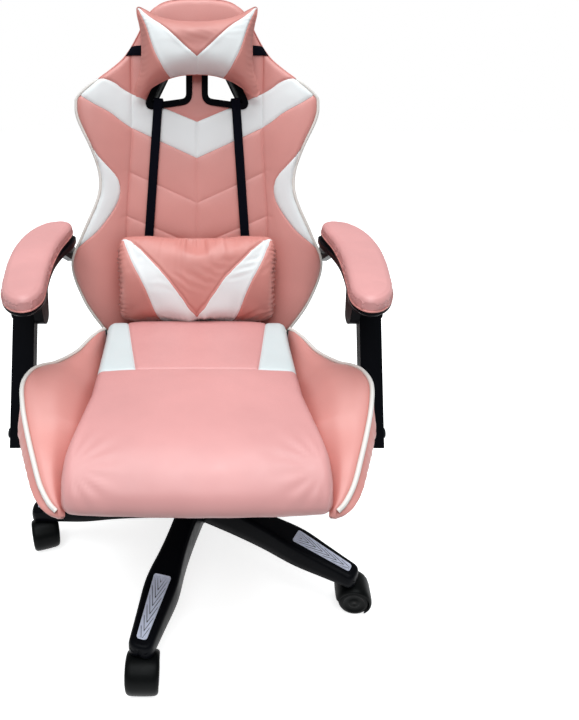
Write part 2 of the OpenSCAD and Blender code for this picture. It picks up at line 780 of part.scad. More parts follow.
module back_wings() {
    pocket = 1;
    slope = atan(wing_rise / (shoulder_half_w - panel_half_w - 12));
    color(pink) on_back() both_sides() difference() {
        intersection() {
            along_y(0, back_t - cover_skin_t - part_gap) back_outline();
            translate([panel_half_w + part_gap / 2, -big / 2, -big / 2]) cube([big, big, big]);
        }
        translate([panel_half_w, wing_rise, -big / 2]) rotate([0, 0, -slope])
            translate([-20, -100, 0]) cube([200, 100, big]);
        translate([hinge_x + hinge_t + 1 - pocket, pivot_w - hinge_plate_r - 4, -big / 2])
            cube([hinge_t + 2 * pocket, 2 * back_t, big / 2 + low_bar_v + 32]);
        bar_x(panel_half_w - 5, big, frame_tube_r + pocket, [tube_w, low_bar_v]);
        bar_x(hip_half_w - 28, big, pin_r + run_gap, [arm_w, arm_v]);
    }
}

module back_cover() {
    color(pink) on_back() difference() {
        along_y(back_t - cover_skin_t, back_t) back_outline();
        slot_holes(0, back_t + 10);
    }
}

// A straight tube between two points given as [x, z] at the frame's depth
module frame_tube(a, b) {
    d = b - a;
    translate([a[0], tube_w, a[1]]) rotate([0, atan2(d[0], d[1]), 0])
        cylinder(h = norm(d), r = frame_tube_r);
    translate([b[0], tube_w, b[1]]) sphere(r = frame_tube_r + weld);
}

module back_frame() {
    bend_v = back_len - 172;
    top_x = upright_x - 46;
    end_x = hinge_x + hinge_t + 1;
    color(steel) on_back() {
        both_sides() {
            frame_tube([upright_x, low_bar_v - 60], [upright_x, bend_v]);
            frame_tube([upright_x, bend_v], [top_x, frame_top_v]);
        }
        frame_tube([-top_x, frame_top_v], [top_x, frame_top_v]);
        frame_tube([-upright_x, 250], [upright_x, 250]);
        translate([-end_x, tube_w, low_bar_v]) rotate([0, 90, 0])
            cylinder(h = 2 * end_x, r = frame_tube_r);
    }
}

module back_hinge_plates() {
    x0 = hinge_x + hinge_t + 1;
    rise = low_bar_v + 28;
    color(steel) on_back() both_sides() difference() {
        along_x(x0, x0 + hinge_t) union() {
            translate([pivot_w, pivot_v]) circle(r = hinge_plate_r);
            polygon([[pivot_w - 4, pivot_v + 21], [pivot_w + 4, pivot_v - 21],
                     [tube_w + 8, low_bar_v - 24], [tube_w + 8, rise], [tube_w - 18, rise]]);
        }
        bar_x(x0 - 1, x0 + hinge_t + 1, hinge_pin_r + run_gap, [pivot_w, pivot_v]);
    }
}

module belt_slot_trims() {
    face = wing_rise - 0.2;
    color(plastic) on_back() both_sides() {
        along_y(face - trim_t, face) difference() {
            slot_outline(0);
            slot_outline(slot_rim);
        }
        along_y(back_t + 0.2, back_t + 0.2 + trim_t) difference() {
            slot_outline(0);
            slot_outline(slot_rim);
        }
        along_y(face - 0.1, back_t + 0.3) difference() {
            slot_outline(part_gap);
            slot_outline(part_gap + 2);
        }
    }
}

// A closed loop of webbing through each opening and under the back's lower edge
module lumbar_straps() {
    rear = back_t + 0.2 + trim_t + part_gap;
    drop = strap_top_v - strap_foot_v;
    color(plastic) on_back() both_sides()
        translate([strap_top_x, 0, strap_top_v]) rotate([0, -strap_splay, 0]) difference() {
            translate([-strap_w / 2, strap_front, -drop])
                cube([strap_w, rear + strap_t - strap_front, drop]);
            translate([-strap_w, strap_front + strap_t, strap_t - drop])
                cube([2 * strap_w, rear - strap_front - strap_t, drop - 2 * strap_t]);
        }
}

module arm_pivot_pins() {
    out = rear_lug_x + rear_lug_t;
    color(zinc) on_back() both_sides() {
        bar_x(hip_half_w - 27, out + 1, pin_r, [arm_w, arm_v]);
        bar_x(out + 0.5, out + 3.5, pin_r + 4, [arm_w, arm_v]);
    }
}

// ---- pillows ----
module lumbar_pillow() {
    rear = strap_front - part_gap;
    color(pink) on_back() rounded_block([-lumbar_w / 2, rear - lumbar_t, lumbar_v],
        [lumbar_w / 2, rear, lumbar_v + lumbar_h], 34);
}

module head_pillow() {
    rear = strap_front - strap_t - 2;
    color(pink) on_back() rounded_block([-head_w / 2, rear - head_t, head_v],
        [head_w / 2, rear, head_v + head_h], 26);
}

module head_strap() {
    front = strap_front - strap_t - 4 * part_gap;
    rear = back_t + trim_t + 1;
    color(plastic) on_back() difference() {
        translate([-head_strap_half_w - strap_t, front, head_strap_v])
            cube([2 * (head_strap_half_w + strap_t), rear + strap_t - front, strap_w]);
        translate([-head_strap_half_w, front + strap_t, head_strap_v - 1])
            cube([2 * head_strap_half_w, rear - front - strap_t, strap_w + 2]);
    }
}

// ---- armrests, drawn for the left side and mirrored for the right ----
module on_side(side) {
    if (side > 0) children();
    else mirror([1, 0, 0]) children();
}

module pad_slab(z0, z1, shrink = 0) {
    centre = [300, -30];
    k = 1 - shrink;
    translate([0, pad_y, pad_z]) rotate([pad_slope, 0, 0]) translate([0, -pad_y, z0])
        linear_extrude(z1 - z0)
            polygon([for (p = pad_outline) centre + k * (p - centre)]);
}

module arm_pad(side) {
    color(pink) on_side(side) pad_slab(-pad_t, 0);
}

module arm_tray(side) {
    lug_r = 20;
    out = rear_lug_x + rear_lug_t;
    lug_top = pad_z - pad_t - 20;
    color(plastic) on_side(side) difference() {
        union() {
            pad_slab(-pad_t - tray_t, -pad_t - 0.1, 0.06);
            bar_x(lug_x, post_x - 1.5, lug_r, top_pivot);
            along_x(lug_x, post_x - 1.5) polygon([
                top_pivot + [-lug_r, 0], top_pivot + [lug_r, 0],
                [top_pivot[0] + 34, lug_top - 4], [top_pivot[0] - 34, lug_top - 12]]);
            bar_x(rear_lug_x, out, lug_r - 2, rear_pivot);
            along_x(rear_lug_x, out) polygon([
                rear_pivot + [6, 17], rear_pivot + [-8, -16], [pad_y - 40, pad_z - pad_t - 16],
                [pad_y - 40, pad_z - pad_t - 8], [pad_y + 10, pad_z - pad_t - 3]]);
            bar_x(post_x - 3, post_x + post_w + 1.5, pin_r, top_pivot);
            bar_x(post_x + post_w + 0.8, post_x + post_w + 4, pin_r + 4, top_pivot);
        }
        bar_x(rear_lug_x - 1, out + 1, pin_r + run_gap, rear_pivot);
    }
}

module arm_post(side) {
    below = 26;
    above = 34;
    color(plastic) on_side(side) difference() {
        translate([post_x, foot_pivot[0], foot_pivot[1]]) rotate([-post_lean, 0, 0])
            translate([0, -post_d / 2, -below]) cube([post_w, post_d, post_len + below + above]);
        bar_x(post_x - 1, post_x + post_w + 1, pin_r + run_gap, foot_pivot);
        bar_x(post_x - 1, post_x + post_w + 1, pin_r + free_gap, top_pivot);
    }
}

star_base();
leg_inlays();
column_tube();
cover_lower();
piston_rod();
cover_middle();
gas_cylinder();
cover_upper();
mechanism_housing();
tension_knob();
lever_bush();
lift_lever();
lever_grip();
tilt_plate();
tilt_pin();
seat_bolts();
seat_board();
seat_cushion();
seat_bolsters();
post_brackets();
seat_hinge_plates();
hinge_covers();
recline_lever();
back_frame();
back_hinge_plates();
back_panel();
back_wings();
back_cover();
belt_slot_trims();
lumbar_straps();
arm_pivot_pins();
lumbar_pillow();
head_pillow();
head_strap();
arm_pad(1);  // arm_pad_left
arm_tray(1);  // arm_tray_left
arm_post(1);  // arm_post_left
arm_pad(-1);  // arm_pad_right
arm_tray(-1);  // arm_tray_right
arm_post(-1);  // arm_post_right
for (i = [1:leg_count]) {
    caster_hood(i - 1);
    caster_pins(i - 1);
    caster_wheel(i - 1, 1);
    caster_wheel(i - 1, -1);
}
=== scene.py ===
import json
import math
import bmesh
import bpy
import numpy as np
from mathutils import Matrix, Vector


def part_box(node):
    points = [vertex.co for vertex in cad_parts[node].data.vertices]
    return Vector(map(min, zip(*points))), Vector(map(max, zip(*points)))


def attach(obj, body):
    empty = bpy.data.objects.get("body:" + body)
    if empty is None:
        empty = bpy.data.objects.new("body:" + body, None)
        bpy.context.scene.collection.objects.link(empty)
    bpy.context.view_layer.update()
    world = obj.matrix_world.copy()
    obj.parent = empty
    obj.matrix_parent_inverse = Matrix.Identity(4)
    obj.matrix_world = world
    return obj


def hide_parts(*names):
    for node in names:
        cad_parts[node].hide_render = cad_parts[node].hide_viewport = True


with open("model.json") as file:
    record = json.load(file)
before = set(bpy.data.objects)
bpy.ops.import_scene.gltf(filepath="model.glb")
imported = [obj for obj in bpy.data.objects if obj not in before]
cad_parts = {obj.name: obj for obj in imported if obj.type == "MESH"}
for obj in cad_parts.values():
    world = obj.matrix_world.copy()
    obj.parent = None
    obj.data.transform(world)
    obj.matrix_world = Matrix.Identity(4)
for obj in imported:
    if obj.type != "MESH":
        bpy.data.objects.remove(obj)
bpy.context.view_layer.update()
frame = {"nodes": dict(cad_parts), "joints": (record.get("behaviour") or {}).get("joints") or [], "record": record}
nodes = frame["nodes"]
scene = bpy.context.scene
mm = 0.001
print("frame loaded:", len(nodes), "nodes")


cameraSet = {"place": (0, -1.003, 0.941), "pitch": 69.32, "lens": 27.0, "shift": (0.1285, -0.0713)}
studio = {
    "ambient": 0.30, "overhead": 700.0, "front": 38.0, "floorGlow": 0.72,
    "floorSeen": (0.90, 0.90, 0.90, 1), "floorBounce": (0.24, 0.24, 0.24, 1), "floorSize": 40,
    "lampTint": (0.935, 0.985, 1.0),
}


# Links each output to its input in a node tree.
def wire(tree, *pairs):
    for source, target in pairs:
        tree.links.new(source, target)


# Camera, pale room, two soft boxes, and a floor that shows lit and white but gives back little light.
def makeStudio():
    lens = bpy.data.cameras.new("studioCamera")
    lens.lens, lens.shift_x, lens.shift_y = cameraSet["lens"], *cameraSet["shift"]
    lens.clip_start = 0.02
    camera = bpy.data.objects.new("studioCamera", lens)
    camera.location = cameraSet["place"]
    camera.rotation_euler = (math.radians(cameraSet["pitch"]), 0, 0)
    scene.collection.objects.link(camera)
    scene.camera = camera
    scene.view_settings.view_transform = "Standard"

    world = bpy.data.worlds.new("paleRoom")
    scene.world = world
    world.use_nodes = True
    tree = world.node_tree
    tree.nodes.clear()
    path = tree.nodes.new("ShaderNodeLightPath")
    seen = tree.nodes.new("ShaderNodeMath")
    seen.operation, seen.use_clamp = "ADD", True
    strength = tree.nodes.new("ShaderNodeMapRange")
    strength.inputs["To Min"].default_value = studio["ambient"]
    back = tree.nodes.new("ShaderNodeBackground")
    back.inputs["Color"].default_value = (1, 1, 1, 1)
    out = tree.nodes.new("ShaderNodeOutputWorld")
    wire(tree, (path.outputs["Is Camera Ray"], seen.inputs[0]),
         (path.outputs["Is Transmission Ray"], seen.inputs[1]),
         (seen.outputs[0], strength.inputs["Value"]), (strength.outputs[0], back.inputs["Strength"]),
         (back.outputs[0], out.inputs[0]))

    # A rectangular lamp turned so that its beam points at aim.
    def areaLamp(name, place, aim, size, power):
        lamp = bpy.data.lights.new(name, "AREA")
        lamp.shape, lamp.size, lamp.size_y, lamp.energy = "RECTANGLE", *size, power
        lamp.color = studio["lampTint"]
        lampObject = bpy.data.objects.new(name, lamp)
        lampObject.location = place
        lampObject.rotation_euler = (Vector(aim) - Vector(place)).to_track_quat("-Z", "Y").to_euler()
        scene.collection.objects.link(lampObject)

    areaLamp("overheadSoftbox", (0.0, -1.15, 9.0), (0, -0.1, 0.5), (7.8, 6.1), studio["overhead"])
    areaLamp("frontSoftbox", (-0.4, -2.7, 3.2), (0, 0, 0.7), (2.2, 1.6), studio["front"])

    bpy.ops.mesh.primitive_plane_add(size=studio["floorSize"], location=(0, 0, 0))
    floor = bpy.context.object
    floor.name = "studioFloor"
    paint = bpy.data.materials.new("paleFloor")
    paint.use_nodes = True
    tree = paint.node_tree
    tree.nodes.clear()
    path = tree.nodes.new("ShaderNodeLightPath")
    bounce = tree.nodes.new("ShaderNodeBsdfDiffuse")
    bounce.inputs["Color"].default_value = studio["floorBounce"]
    diffuse = tree.nodes.new("ShaderNodeBsdfDiffuse")
    diffuse.inputs["Color"].default_value = studio["floorSeen"]
    glow = tree.nodes.new("ShaderNodeEmission")
    glow.inputs["Strength"].default_value = studio["floorGlow"]
    seen = tree.nodes.new("ShaderNodeMath")
    seen.operation, seen.use_clamp = "ADD", True
    pick = tree.nodes.new("ShaderNodeMixShader")
    both = tree.nodes.new("ShaderNodeAddShader")
    out = tree.nodes.new("ShaderNodeOutputMaterial")
    wire(tree, (path.outputs["Is Camera Ray"], seen.inputs[0]),
         (path.outputs["Is Glossy Ray"], seen.inputs[1]),
         (diffuse.outputs[0], both.inputs[0]), (glow.outputs[0], both.inputs[1]),
         (seen.outputs[0], pick.inputs[0]),
         (bounce.outputs[0], pick.inputs[1]), (both.outputs[0], pick.inputs[2]),
         (pick.outputs[0], out.inputs[0]))
    floor.data.materials.append(paint)


makeStudio()
print("camera and studio ready")


# Colours are linear. folds is painted shade: each channel is darkened by its own factor where the surface is
# closed in, looking reach metres around; rough is a range, and tint is how much the colour varies.
finishes = {
    "pink": {"colour": (0.760, 0.318, 0.287), "rough": (0.40, 0.52), "tint": 0.05,
             "folds": (0.70, 0.50, 0.46)},
    # seatPink is a paler, cooler copy of pink for the seat and arm pads: painted sheen of the overhead lamp, with
    # deeper and wider painted shade
    "seatPink": {"colour": (0.755, 0.356, 0.348), "rough": (0.40, 0.52), "tint": 0.05,
                 "folds": (0.60, 0.47, 0.46), "reach": 0.42},
    # pillowPink is a darker, redder copy of pink for the pillows: painted shade
    "pillowPink": {"colour": (0.670, 0.258, 0.226), "rough": (0.42, 0.54), "tint": 0.05,
                   "folds": (0.74, 0.54, 0.50)},
    # white is brightened, a painted light on the back's panels and the pillows' V; shadedSeatWhite is its darker
    # copy for the seat's patches, painted shade of the lumbar pillow
    "white": {"colour": (0.93, 0.955, 0.965), "rough": (0.36, 0.48), "tint": 0.03,
              "folds": (0.80, 0.76, 0.75)},
    "shadedSeatWhite": {"colour": (0.66, 0.725, 0.735), "rough": (0.36, 0.48), "tint": 0.03,
                  "folds": (0.85, 0.85, 0.85)},
    "piping": {"colour": (0.85, 0.81, 0.77), "rough": (0.34, 0.44), "tint": 0.03,
               "folds": (0.75, 0.72, 0.68)},
    "plastic": {"colour": (0.0030, 0.0034, 0.0052), "rough": (0.30, 0.42), "grain": 1400, "bump": 0.08,
                "shine": 0.05},
    "trim": {"colour": (0.0022, 0.0024, 0.0036), "rough": (0.55, 0.70), "grain": 1400, "bump": 0.08,
             "shine": 0.03},
    "caster": {"colour": (0.0022, 0.0028, 0.0030), "rough": (0.36, 0.46), "grain": 1800, "bump": 0.04,
               "shine": 0.09},
    "inlay": {"colour": (0.68, 0.72, 0.88), "rough": (0.30, 0.40), "grain": 1500, "bump": 0.04},
    "steel": {"colour": (0.011, 0.013, 0.016), "rough": (0.36, 0.50), "grain": 900, "bump": 0.08,
              "shine": 0.15},
    "zinc": {"colour": (0.55, 0.55, 0.53), "rough": (0.24, 0.42), "grain": 500, "bump": 0.03},
    "webbing": {"colour": (0.0022, 0.0026, 0.0075), "rough": (0.68, 0.82)},
    "plywood": {"colour": (0.42, 0.27, 0.14), "rough": (0.60, 0.75)},
}


# A small node tree builder round one Principled shader.
class Finish:
    def __init__(self, name):
        self.material = bpy.data.materials.new(name)
        self.material.use_nodes = True
        self.tree = self.material.node_tree
        self.tree.nodes.clear()
        self.shader = self.add("ShaderNodeBsdfPrincipled")
        out = self.add("ShaderNodeOutputMaterial")
        self.tree.links.new(self.shader.outputs[0], out.inputs[0])
        self.coords = self.add("ShaderNodeTexCoord")

    # One shader node with its settings, socket values and incoming links.
    def add(self, kind, settings=None, values=None, links=None):
        made = self.tree.nodes.new(kind)
        for key, value in (settings or {}).items():
            setattr(made, key, value)
        for key, value in (values or {}).items():
            made.inputs[key].default_value = value
        for key, source in (links or {}).items():
            self.tree.links.new(source, made.inputs[key])
        return made

    # Fractal noise in the piece's own coordinates, scale cycles to the metre.
    def noise(self, scale, detail=2.0, rough=0.5):
        return self.add("ShaderNodeTexNoise", None, {"Scale": scale, "Detail": detail, "Roughness": rough},
                        {"Vector": self.coords.outputs["Object"]}).outputs["Fac"]

    # Straight-line map of one range of values to another.
    def ranged(self, source, low, high, fromLow=0.3, fromHigh=0.7):
        return self.add("ShaderNodeMapRange", None,
                        {"From Min": fromLow, "From Max": fromHigh, "To Min": low, "To Max": high},
                        {"Value": source}).outputs[0]

    # A mix between the colour made darker and lighter by its spread.
    def tinted(self, source, colour, spread):
        dark = tuple(c * (1 - spread) for c in colour) + (1,)
        light = tuple(min(1, c * (1 + spread)) for c in colour) + (1,)
        mixed = self.add("ShaderNodeMix", {"data_type": "RGBA"}, None, {"Factor": source})
        mixed.inputs["A"].default_value, mixed.inputs["B"].default_value = dark, light
        return mixed.outputs["Result"]

    # A height turned into a bent normal, on top of another bend if one is given.
    def bump(self, height, strength, distance, below=None):
        links = {"Height": height}
        if below:
            links["Normal"] = below
        return self.add("ShaderNodeBump", None, {"Strength": strength, "Distance": distance},
                        links).outputs[0]

    # Sets or links the shader's sockets; an underscore in a name stands for a blank.
    def set(self, **sockets):
        for key, value in sockets.items():
            name = key.replace("_", " ")
            if hasattr(value, "is_output"):
                self.tree.links.new(value, self.shader.inputs[name])
            else:
                self.shader.inputs[name].default_value = value


# Smooth coated leatherette: soft blotches, a pebble grain near a millimetre, and shallow broad waves; its colour
# carries painted shade, darker where ambient occlusion finds the surface closed in.
def leather(name, look):
    f = Finish(name)
    blotch = f.noise(7.0, 3.0)
    worn = f.noise(38.0, 4.0)
    pebble = f.add("ShaderNodeTexVoronoi", {"feature": "SMOOTH_F1"}, {"Scale": 760.0, "Smoothness": 0.6},
                   {"Vector": f.coords.outputs["Object"]}).outputs["Distance"]
    fine = f.bump(pebble, 0.16, 0.00018)
    waves = f.bump(f.noise(26.0, 2.0), 0.22, 0.0016, fine)
    # painted shade: the colour mixes towards itself times folds where the occlusion lookup finds the surface
    # closed in
    clear = f.add("ShaderNodeAmbientOcclusion", {"samples": 6},
                  {"Distance": look.get("reach", 0.11)}).outputs["AO"]
    paintedShadeMix = f.add("ShaderNodeMix", {"data_type": "RGBA"})
    paintedShadeMix.inputs["A"].default_value = tuple(c * d for c, d in zip(look["colour"], look["folds"])) + (1,)
    f.tree.links.new(f.ranged(clear, 0, 1, 0.15, 0.92), paintedShadeMix.inputs["Factor"])
    f.tree.links.new(f.tinted(f.ranged(blotch, 0, 1), look["colour"], look["tint"]), paintedShadeMix.inputs["B"])
    f.set(Base_Color=paintedShadeMix.outputs["Result"], Roughness=f.ranged(worn, *look["rough"]), Normal=waves,
          Specular_IOR_Level=0.55, Coat_Weight=0.08, Coat_Roughness=0.35, Sheen_Weight=0.06)
    return f.material


# Moulded plastic or painted metal: spark-eroded grain, uneven gloss and faint handling marks.
def moulded(name, look, metal=0.0):
    f = Finish(name)
    worn = f.add("ShaderNodeBevel", {"samples": 4}, {"Radius": 0.0012}).outputs[0]
    grain = f.bump(f.noise(look["grain"], 2.0), look["bump"], 0.00012, worn)
    marks = f.noise(55.0, 5.0, rough=0.65)
    f.set(Base_Color=f.tinted(f.ranged(f.noise(12.0), 0, 1), look["colour"], 0.14),
          Roughness=f.ranged(marks, *look["rough"]), Normal=grain, Metallic=metal,
          Specular_IOR_Level=look.get("shine", 0.45))
    return f.material


# Woven polyester belt: ribs along and across, on the piece's own UV map in metres.
def webbing(name, look):
    f = Finish(name)
    parts = f.add("ShaderNodeSeparateXYZ", None, None, {"Vector": f.coords.outputs["UV"]})

    # Half of one plus the sine of the coordinate, one turn to a pitch.
    def ribs(source, pitch):
        turns = f.add("ShaderNodeMath", {"operation": "MULTIPLY_ADD"},
                      {1: 2 * math.pi / pitch, 2: 0.0}, {0: source}).outputs[0]
        wave = f.add("ShaderNodeMath", {"operation": "SINE"}, None, {0: turns}).outputs[0]
        return f.add("ShaderNodeMath", {"operation": "MULTIPLY_ADD"}, {1: 0.5, 2: 0.5},
                     {0: wave}).outputs[0]

    across = ribs(parts.outputs[0], 0.0026)
    along = ribs(parts.outputs[1], 0.0017)
    weave = f.add("ShaderNodeMath", {"operation": "MULTIPLY"}, None, {0: across, 1: along}).outputs[0]
    f.set(Base_Color=f.tinted(weave, look["colour"], 0.5), Roughness=f.ranged(weave, *look["rough"], 0, 1),
          Normal=f.bump(weave, 0.5, 0.0004), Specular_IOR_Level=0.05)
    return f.material


# Plies are waves up the z axis, broken up by fibres of noise.
def plywood(name, look):
    f = Finish(name)
    plies = f.add("ShaderNodeTexWave", {"bands_direction": "Z"},
                  {"Scale": 180.0, "Distortion": 1.5, "Detail": 3.0},
                  {"Vector": f.coords.outputs["Object"]}).outputs["Fac"]
    fibres = f.noise(90.0, 6.0)
    mixed = f.add("ShaderNodeMath", {"operation": "MULTIPLY"}, None, {0: plies, 1: fibres}).outputs[0]
    f.set(Base_Color=f.tinted(mixed, look["colour"], 0.35), Roughness=f.ranged(fibres, *look["rough"]),
          Normal=f.bump(mixed, 0.2, 0.0004))
    return f.material


covers = ("pink", "seatPink", "pillowPink", "white", "shadedSeatWhite", "piping")
paint = {key: leather(key + "Leatherette", finishes[key]) for key in covers}
for key, metal in (("plastic", 0), ("trim", 0), ("caster", 0), ("inlay", 0), ("steel", 0), ("zinc", 1)):
    paint[key] = moulded(key + "Finish", finishes[key], metal)
paint["webbing"] = webbing("wovenBelt", finishes["webbing"])
paint["plywood"] = plywood("seatPlywood", finishes["plywood"])
print("finishes ready")


# Catmull-Rom: each span is the cubic through its ends with slopes from the neighbouring points.
def smoothLine(points, steps=10):
    p = np.asarray(points, float)
    a, b, c, d = (p[np.clip(np.arange(len(p) - 1) + k, 0, len(p) - 1)][:, None] for k in (-1, 0, 1, 2))
    t = (np.arange(steps) / steps)[None, :, None]
    curve = 0.5 * (2 * b + (c - a) * t + (2 * a - 5 * b + 4 * c - d) * t**2
                   + (3 * b - a - 3 * c + d) * t**3)
    return np.vstack([curve.reshape(-1, p.shape[1]), p[-1:]])


# Points of a polyline at the given shares of its length.
def along(line, fractions):
    line = np.asarray(line, float)
    run = runLengths(line)
    return np.stack([np.interp(np.asarray(fractions) * run[-1], run, line[:, k])
                     for k in range(line.shape[1])], 1)


# Shares from 0 to 1, closer together towards both ends by a cosine.
def spread(count, tight=0.9):
    t = np.linspace(0, 1, count)
    return (1 - tight) * t + tight * 0.5 * (1 - np.cos(np.pi * t))


# Four-sided faces of a grid of corners, row by row, closed on itself where asked.
def gridFaces(rows, cols, loopRows=False, loopCols=False):
    i = np.arange(rows if loopRows else rows - 1)[:, None]
    j = np.arange(cols if loopCols else cols - 1)[None, :]
    i2, j2 = (i + 1) % rows, (j + 1) % cols
    return np.stack([i * cols + j, i2 * cols + j, i2 * cols + j2, i * cols + j2], -1).reshape(-1, 4)


# Fans of triangles over both ends of a tube of rings, whose two pole corners come right after the rings.
def endFans(rows, cols):
    k = np.arange(cols)
    k2, first, last = (k + 1) % cols, np.full(cols, rows * cols), (rows - 1) * cols
    return np.vstack([np.stack([k2, k, first, first], 1),
                      np.stack([last + k, last + k2, first + 1, first + 1], 1)])


# Depth of a quarter circle that rolls an edge over: radius less the root of radius squared less the
# bite's square, where the bite is how far the gap to the edge falls short of the radius.
def rollOver(gap, radius):
    bite = np.clip(radius - gap, 0, radius)
    return radius - np.sqrt(np.maximum(radius * radius - bite * bite, 0))


# Distance run along a line at each of its points.
def runLengths(line):
    return np.concatenate([[0], np.cumsum(np.linalg.norm(np.diff(line, axis=0), axis=1))])


# One mesh object at the origin from arrays of corners and four-sided faces. A face that names a corner
# twice in a row becomes a triangle, and one with fewer than three corners is left out.
def buildPiece(name, verts, faces, finish, uv=None, extra=(), weld=1e-6, material=None):
    verts, faces = np.asarray(verts, np.float32).reshape(-1, 3), np.asarray(faces, np.int32)
    fresh = faces != np.roll(faces, 1, 1)
    kept = fresh.sum(1) >= 3
    faces, fresh = faces[kept], fresh[kept]
    corners = faces[fresh]
    count = fresh.sum(1)
    mesh = bpy.data.meshes.new(name)
    mesh.vertices.add(len(verts))
    mesh.vertices.foreach_set("co", verts.ravel())
    mesh.loops.add(len(corners))
    mesh.loops.foreach_set("vertex_index", corners)
    mesh.polygons.add(len(faces))
    mesh.polygons.foreach_set("loop_start", np.concatenate([[0], np.cumsum(count)[:-1]]).astype(np.int32))
    if uv is not None:
        layer = mesh.uv_layers.new(name="flat")
        layer.data.foreach_set("uv", np.asarray(uv, np.float32).reshape(-1, 2)[corners].ravel())
    mesh.update(calc_edges=True)
    if material is not None:
        mesh.polygons.foreach_set("material_index", np.asarray(material, np.int32)[kept])
    if weld:
        bm = bmesh.new()
        bm.from_mesh(mesh)
        bmesh.ops.remove_doubles(bm, verts=bm.verts, dist=weld)
        bmesh.ops.dissolve_degenerate(bm, edges=bm.edges, dist=weld)
        bm.to_mesh(mesh)
        bm.free()
    mesh.validate()
    mesh.polygons.foreach_set("use_smooth", np.full(len(mesh.polygons), True))
    mesh.materials.append(paint[finish])
    for other in extra:
        mesh.materials.append(paint[other])
    piece = bpy.data.objects.new(name, mesh)
    scene.collection.objects.link(piece)
    return piece


# Attaches a finished piece to its body and hides the CAD nodes it stands for.
def settle(piece, body, stands=()):
    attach(piece, body)
    if stands:
        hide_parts(*stands)


# Turns every face of a finished piece outwards.
def outwards(piece):
    bm = bmesh.new()
    bm.from_mesh(piece.data)
    bmesh.ops.recalc_face_normals(bm, faces=bm.faces)
    bm.to_mesh(piece.data)
    bm.free()


# A closed profile of (radius, offset) pairs turned about an axis, all round or over the given angles. The
# profile is two rails of equal count, the second backwards, so each end closes with a strip between them.
def turned(profile, centre, axis, zero, angles=None):
    profile = np.asarray(profile, float)
    axis = np.asarray(axis, float) / np.linalg.norm(axis)
    zero = np.asarray(zero, float) - np.dot(zero, axis) * axis
    zero /= np.linalg.norm(zero)
    other = np.cross(axis, zero)
    whole = angles is None
    if whole:
        angles = np.linspace(0, 2 * np.pi, 49)[:-1]
    ray = np.cos(angles)[:, None] * zero + np.sin(angles)[:, None] * other
    rings = np.asarray(centre) + ray[:, None] * profile[None, :, :1] + axis * profile[None, :, 1:]
    n, m = rings.shape[:2]
    faces = gridFaces(n, m, whole, True)
    if not whole:
        k = np.arange(m // 2 - 1)
        cap = np.stack([k, k + 1, m - 2 - k, m - 1 - k], 1)
        faces = np.vstack([faces, cap, cap[:, ::-1] + (n - 1) * m])
    return rings.reshape(-1, 3), faces


# Along a path: a side square to its direction and to up, and the third axis.
def frames(path, closed=False, up=(0, 0, 1)):
    path = np.asarray(path, float)
    ahead = np.roll(path, -1, 0) - np.roll(path, 1, 0)
    if not closed:
        ahead[0], ahead[-1] = path[1] - path[0], path[-1] - path[-2]
    ahead /= np.linalg.norm(ahead, axis=1)[:, None] + 1e-12
    up = np.broadcast_to(np.asarray(up, float), path.shape)
    side = np.cross(ahead, up)
    side /= np.linalg.norm(side, axis=1)[:, None] + 1e-12
    return side, np.cross(side, ahead)


# Carries a closed profile (side, up) along a path; each ring is path + side * p0 + up * p1.
# Open ends are capped to a point.
def sweep(path, profile, closed=False, up=(0, 0, 1), scale=None):
    side, top = frames(path, closed, up)
    profile = np.asarray(profile, float)
    size = np.ones(len(path)) if scale is None else np.asarray(scale, float)
    rings = (np.asarray(path)[:, None] + size[:, None, None]
             * (side[:, None] * profile[None, :, :1] + top[:, None] * profile[None, :, 1:]))
    faces = gridFaces(len(rings), len(profile), closed, True)
    verts = rings.reshape(-1, 3)
    if not closed:
        verts = np.vstack([verts, path[0], path[-1]])
        faces = np.vstack([faces, endFans(len(rings), len(profile))])
    return verts, faces


# A circle as (radius cos a, radius sin a).
def roundProfile(radius, count=10):
    a = np.linspace(0, 2 * np.pi, count, endpoint=False)
    return np.stack([radius * np.cos(a), radius * np.sin(a)], 1)


# Several meshes as one: each part's faces are shifted by the number of corners before it.
def joined(parts):
    verts, faces, base = [], [], 0
    for v, f in parts:
        verts.append(np.asarray(v).reshape(-1, 3))
        faces.append(np.asarray(f) + base)
        base += len(verts[-1])
    return np.vstack(verts), np.vstack(faces)


# The same surface on the other side of x = 0, with its faces turned to point outwards again.
def mirrored(verts, faces):
    return np.asarray(verts).reshape(-1, 3) * (-1, 1, 1), np.asarray(faces)[:, ::-1]


# A part and its mirror image as one mesh.
def bothSides(verts, faces):
    return joined([(verts, faces), mirrored(verts, faces)])


# Distance from each point to the nearest of some polylines, taken at samples a step apart.
def nearest(points, lines, step):
    samples = np.vstack([along(line, np.linspace(0, 1, max(2, int(lineLength(line) / step))))
                         for line in lines])
    best = np.full(len(points), 1e9)
    for part in np.array_split(samples, max(1, len(samples) // 60)):
        best = np.minimum(best, np.linalg.norm(points[:, None] - part[None], axis=2).min(1))
    return best


# Sum of the lengths of a line's spans.
def lineLength(line):
    return np.linalg.norm(np.diff(np.asarray(line, float), axis=0), axis=1).sum()


# A smooth seeded waviness: a sum of sines along random directions.
def ripple(points, waves, seed):
    rng = np.random.default_rng(seed)
    total = np.zeros(len(points))
    for wave in waves:
        for _ in range(4):
            direction = rng.normal(size=points.shape[1])
            direction /= np.linalg.norm(direction)
            total += wave[1] * np.sin(points @ direction * 2 * np.pi / wave[0] + rng.uniform(0, 6.28)) / 4
    return total


# The back has its own axes in millimetres: x across, w to the rear, v up along it. Its foot starts a little
# behind and above the recline pivot, and it leans as the lumbar pillow's slide does.
joints = {j["name"]: j for j in frame["joints"]}
record = frame["record"]
recline = joints["back_recline"]["pos_m"]
lean = math.atan2(*joints["lumbar_slide"]["axis"][1:])
backStart = np.array([0, recline[1] + 4 * mm, recline[2] + 40 * mm])


